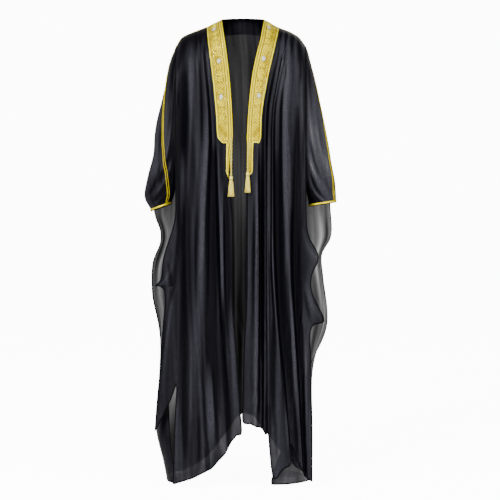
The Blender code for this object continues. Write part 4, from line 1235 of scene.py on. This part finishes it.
# %% Cuffs
# wrist openings: middle across and half width
CUFFS = (("left", -1, 0.267, 0.0354), ("right", 1, 0.272, 0.0464))
CUFF_HALF_DEPTH = 0.0424
CUFF_MIDDLE = -0.010
CUFF_DROP = 3.4 * MM
WRIST_BELOW = -0.55
CUFF_BINDING = oval(1.9 * MM, 2.9 * MM, 12)
CUFF_CORD = lobed(1.4 * MM, 3, 0.16, 9)
CUFF_CORD_LIFTS = (-2.7 * MM, 2.7 * MM)
CUFF_HEM = oval(1.1 * MM, 1.1 * MM, 6)
CUFF_HEM_DROP = 4.6 * MM
for side, sign, middle, half in CUFFS:
    sleeve = SHEETS["sleeve_" + side].data
    edge = read_points(sleeve)[sum(free_edges(sleeve), [])]
    edge = edge[edge[:, 2] < WRIST_BELOW]
    tree = point_tree(edge * (1, 1, 0))
    turns = np.linspace(0, math.tau, 37)[:-1]
    across = sign * (middle - half * np.cos(turns))
    depth = CUFF_MIDDLE - CUFF_HALF_DEPTH * np.sin(turns)
    ring = edge[[tree.find((x, y, 0.0))[1] for x, y in zip(across, depth)]] - (0, 0, CUFF_DROP)
    for _ in range(2):
        ring = (np.roll(ring, 1, axis=0) + 2 * ring + np.roll(ring, -1, axis=0)) / 4
    line = spline_through(ring, 2.0 * MM, closed=True)
    print("cuff", side, "heights", [round(float(v), 3) for v in (ring[:, 2].min(), ring[:, 2].max())])
    parts = [sweep(line, CUFF_BINDING, closed=True, up=[(0.0, 0.0, 1.0)] * len(line))]
    parts += [sweep(line + (0, 0, lift), CUFF_CORD, 260.0, closed=True) for lift in CUFF_CORD_LIFTS]
    piece = dress(joined("gold_cuff_" + side, parts), gold_thread)
    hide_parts("cuff_" + side)
    roll = sweep(line - (0, 0, CUFF_HEM_DROP), CUFF_HEM, closed=True)
    dress(joined("cuff_hem_" + side, [roll]), hem_cloth)

# %% [markdown]
# ## Ornaments
#
# Each medallion is a padded oval in silver thread with a ring of beads. It is modelled once
# and copied, and every copy is turned to lie on its band. Sequins are small dished discs.

# %% Medallion
def round_blank(segments, rings):
    """A sphere to shape: its points and faces."""
    bpy.ops.object.select_all(action="DESELECT")
    bpy.ops.mesh.primitive_uv_sphere_add(segments=segments, ring_count=rings, radius=1.0)
    blank = bpy.context.object
    points, faces = read_points(blank.data), read_faces(blank.data)
    bpy.data.objects.remove(blank)
    return points, faces


def turned_to(normal):
    """The turn that lays an upright thing flat on a surface."""
    sideways = Vector((0, 0, 1)).cross(normal).normalized()
    return Matrix((sideways, normal.cross(sideways), normal)).transposed()


def middle_of(node):
    """The middle of a solid node's box."""
    low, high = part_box(node)
    return (low + high) / 2


# in mm: half width, half length, height above and depth below its middle
HALF_WIDE, HALF_LONG, ABOVE, BELOW = (4.6, 7.0, 1.7, 0.3)
# in mm: half width and half length of the ring of beads, and how high it lies
RING_WIDE, RING_LONG, RING_HIGH = (5.4, 7.9, 0.5)
BEADS = 18
BEAD_SECTION = oval(0.95 * MM, 0.95 * MM, 8)
# height in mm and share of the full width along a bead
BEAD = ((-0.95, 0.15), (-0.5, 0.85), (0.0, 1.0), (0.5, 0.85), (0.95, 0.15))
points, faces = round_blank(24, 12)
ribs = 1 + 0.05 * np.cos(12 * np.arctan2(points[:, 1], points[:, 0])) * (1 - points[:, 2] ** 2)
thick = np.where(points[:, 2] > 0, ABOVE, BELOW)
points = points * np.stack([HALF_WIDE * ribs, HALF_LONG * ribs, thick], axis=1) * MM
medallion_parts = [(points, faces, [0.0] * len(points))]
for turn in np.arange(BEADS) * math.tau / BEADS:
    line = [(RING_WIDE * math.cos(turn), RING_LONG * math.sin(turn), RING_HIGH + height)
            for height, _ in BEAD]
    medallion_parts.append(sweep(np.array(line) * MM, BEAD_SECTION, up=[(0.0, 1.0, 0.0)] * len(BEAD),
                                 taper=[share for _, share in BEAD]))

spots = [(f"medallion_{side}_{k}", "band_" + side) for side in ("left", "right") for k in (1, 2, 3)]
spots.append(("medallion_neck", "band_neck"))
for node, band in spots:
    spot, normal, _, _ = surface_tree(BANDS[band][0]).find_nearest(middle_of(node))
    piece = joined("silver_" + node, medallion_parts)
    piece.data.transform(Matrix.Translation(spot + normal * 0.25 * MM) @ turned_to(normal).to_4x4())
    dress(piece, silver_thread)
    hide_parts(node)

# %% Places on a band
def band_places(name):
    """The corners of a band's outer side, their places along and across it, and a tree to search those."""
    mesh = BANDS[name][0].data
    layer = mesh.uv_layers["band"].data
    loops = [i for p in mesh.polygons for i in p.loop_indices
             if p.normal.dot((p.center - BODY_AXIS) * LEVEL) > 0.0]
    places = [(*layer[i].uv, 0.0) for i in loops]
    return [mesh.vertices[mesh.loops[i].vertex_index] for i in loops], places, point_tree(places)


# %% Sprigs of leaves
SPRIG_STEP = 21 * MM
# steps from each medallion; one more sprig lies three steps above the first medallion
SPRIG_STEPS = (-2, -1, 1, 2, 3)
LEAF_SIZE = (1.9 * MM, 5.2 * MM, 1.15 * MM)
LEAF_NARROWS = 0.55
LEAF_BENDS = 0.035
LEAF_LIFT = 0.3 * MM
# turn in degrees and place in mm of each leaf of a sprig
LEAVES = ((0, 0.0, 5.6), (52, 4.6, 1.6), (-52, -4.6, 1.6), (64, 4.4, -4.6), (-64, -4.4, -4.6))
leaf_points, leaf_faces = round_blank(12, 8)
narrow = 1 - leaf_points[:, 1] ** 2 * LEAF_NARROWS
leaf_points = leaf_points * LEAF_SIZE
leaf_points[:, 0] = leaf_points[:, 0] * narrow + (leaf_points[:, 1] / MM) ** 2 * LEAF_BENDS * MM
for band, side in (("band_left", -1), ("band_right", 1)):
    corners, places, tree = band_places(band)
    body = surface_tree(BANDS[band][0])
    corner_tree = point_tree([corner.co for corner in corners])
    along, across, _ = np.array([places[corner_tree.find(middle_of(node))[1]]
                                 for node, under in spots if under == band]).T
    stops = [along[0] - 3 * SPRIG_STEP]
    stops += [middle + step * SPRIG_STEP for middle in along for step in SPRIG_STEPS]
    print(band, "medallions at", [round(float(v), 3) for v in along], "sprigs", len(stops))
    parts = []
    for place in stops:
        level = float(np.interp(place, along, across))
        found, index, _ = tree.find((place, level, 0.0))
        start = corners[index]
        sideways, upward, _ = turned_to(start.normal).transposed()
        middle = start.co + start.normal * 2 * MM
        middle += sideways * side * (level - found[1]) - upward * (place - found[0])
        for degrees, right, up in LEAVES:
            spot, normal, _, _ = body.find_nearest(middle + (sideways * right + upward * up) * MM)
            turn = turned_to(normal)
            sideways = turn.col[0].copy()
            turn = turn @ Matrix.Rotation(-math.radians(degrees), 3, "Z")
            flip = np.array([-1.0 if degrees < 0 else 1.0, 1.0, 1.0])
            foot = spot + normal * LEAF_LIFT
            parts.append(([foot + turn @ Vector(point) for point in leaf_points * flip],
                          leaf_faces, [0.0] * len(leaf_points)))
    dress(joined("sprigs_" + band, parts), bright_thread)

# %% Sequins
DISC = [(0.0, 0.0, 0.28)] + [(math.cos(t), math.sin(t), 0.0) for t in np.linspace(0, math.tau, 9)[:-1]]
DISC_FACES = [(0, k, k % 8 + 1) for k in range(1, 9)]
# distance from the band's inner edge, spacing and radius in mm
SEQUIN_ROWS = ((9.6, 6.5, 1.1), (20.5, 8.0, 1.3), (42.0, 7.0, 1.2))
SEQUIN_LIFT = 0.12 * MM
# no sequin where the band has ended or is narrower than the row's place
SEQUIN_REACH = 2.5 * MM
for name, (band, _) in BANDS.items():
    corners, _, tree = band_places(name)
    body = surface_tree(band)
    length = max(corner.uv[0] for corner in band.data.uv_layers["band"].data)
    points, faces = [], []
    for across, spacing, radius in SEQUIN_ROWS:
        for along in np.arange(spacing / 2, length / MM, spacing) * MM:
            _, index, far = tree.find((along, across * MM, 0.0))
            if far > SEQUIN_REACH:
                continue
            corner = corners[index]
            spot, normal, _, _ = body.find_nearest(corner.co + corner.normal * BAND_THICKNESS * 2)
            sideways = Vector((0.2, 0.1, 1)).cross(normal).normalized()
            upward = normal.cross(sideways)
            centre = spot + normal * SEQUIN_LIFT
            faces += [tuple(index + len(points) for index in face) for face in DISC_FACES]
            points += [centre + (sideways * a + upward * b) * radius * MM + normal * c * MM
                       for a, b, c in DISC]
    dress(new_piece("sequins_" + name, points, faces), sequin_metal)
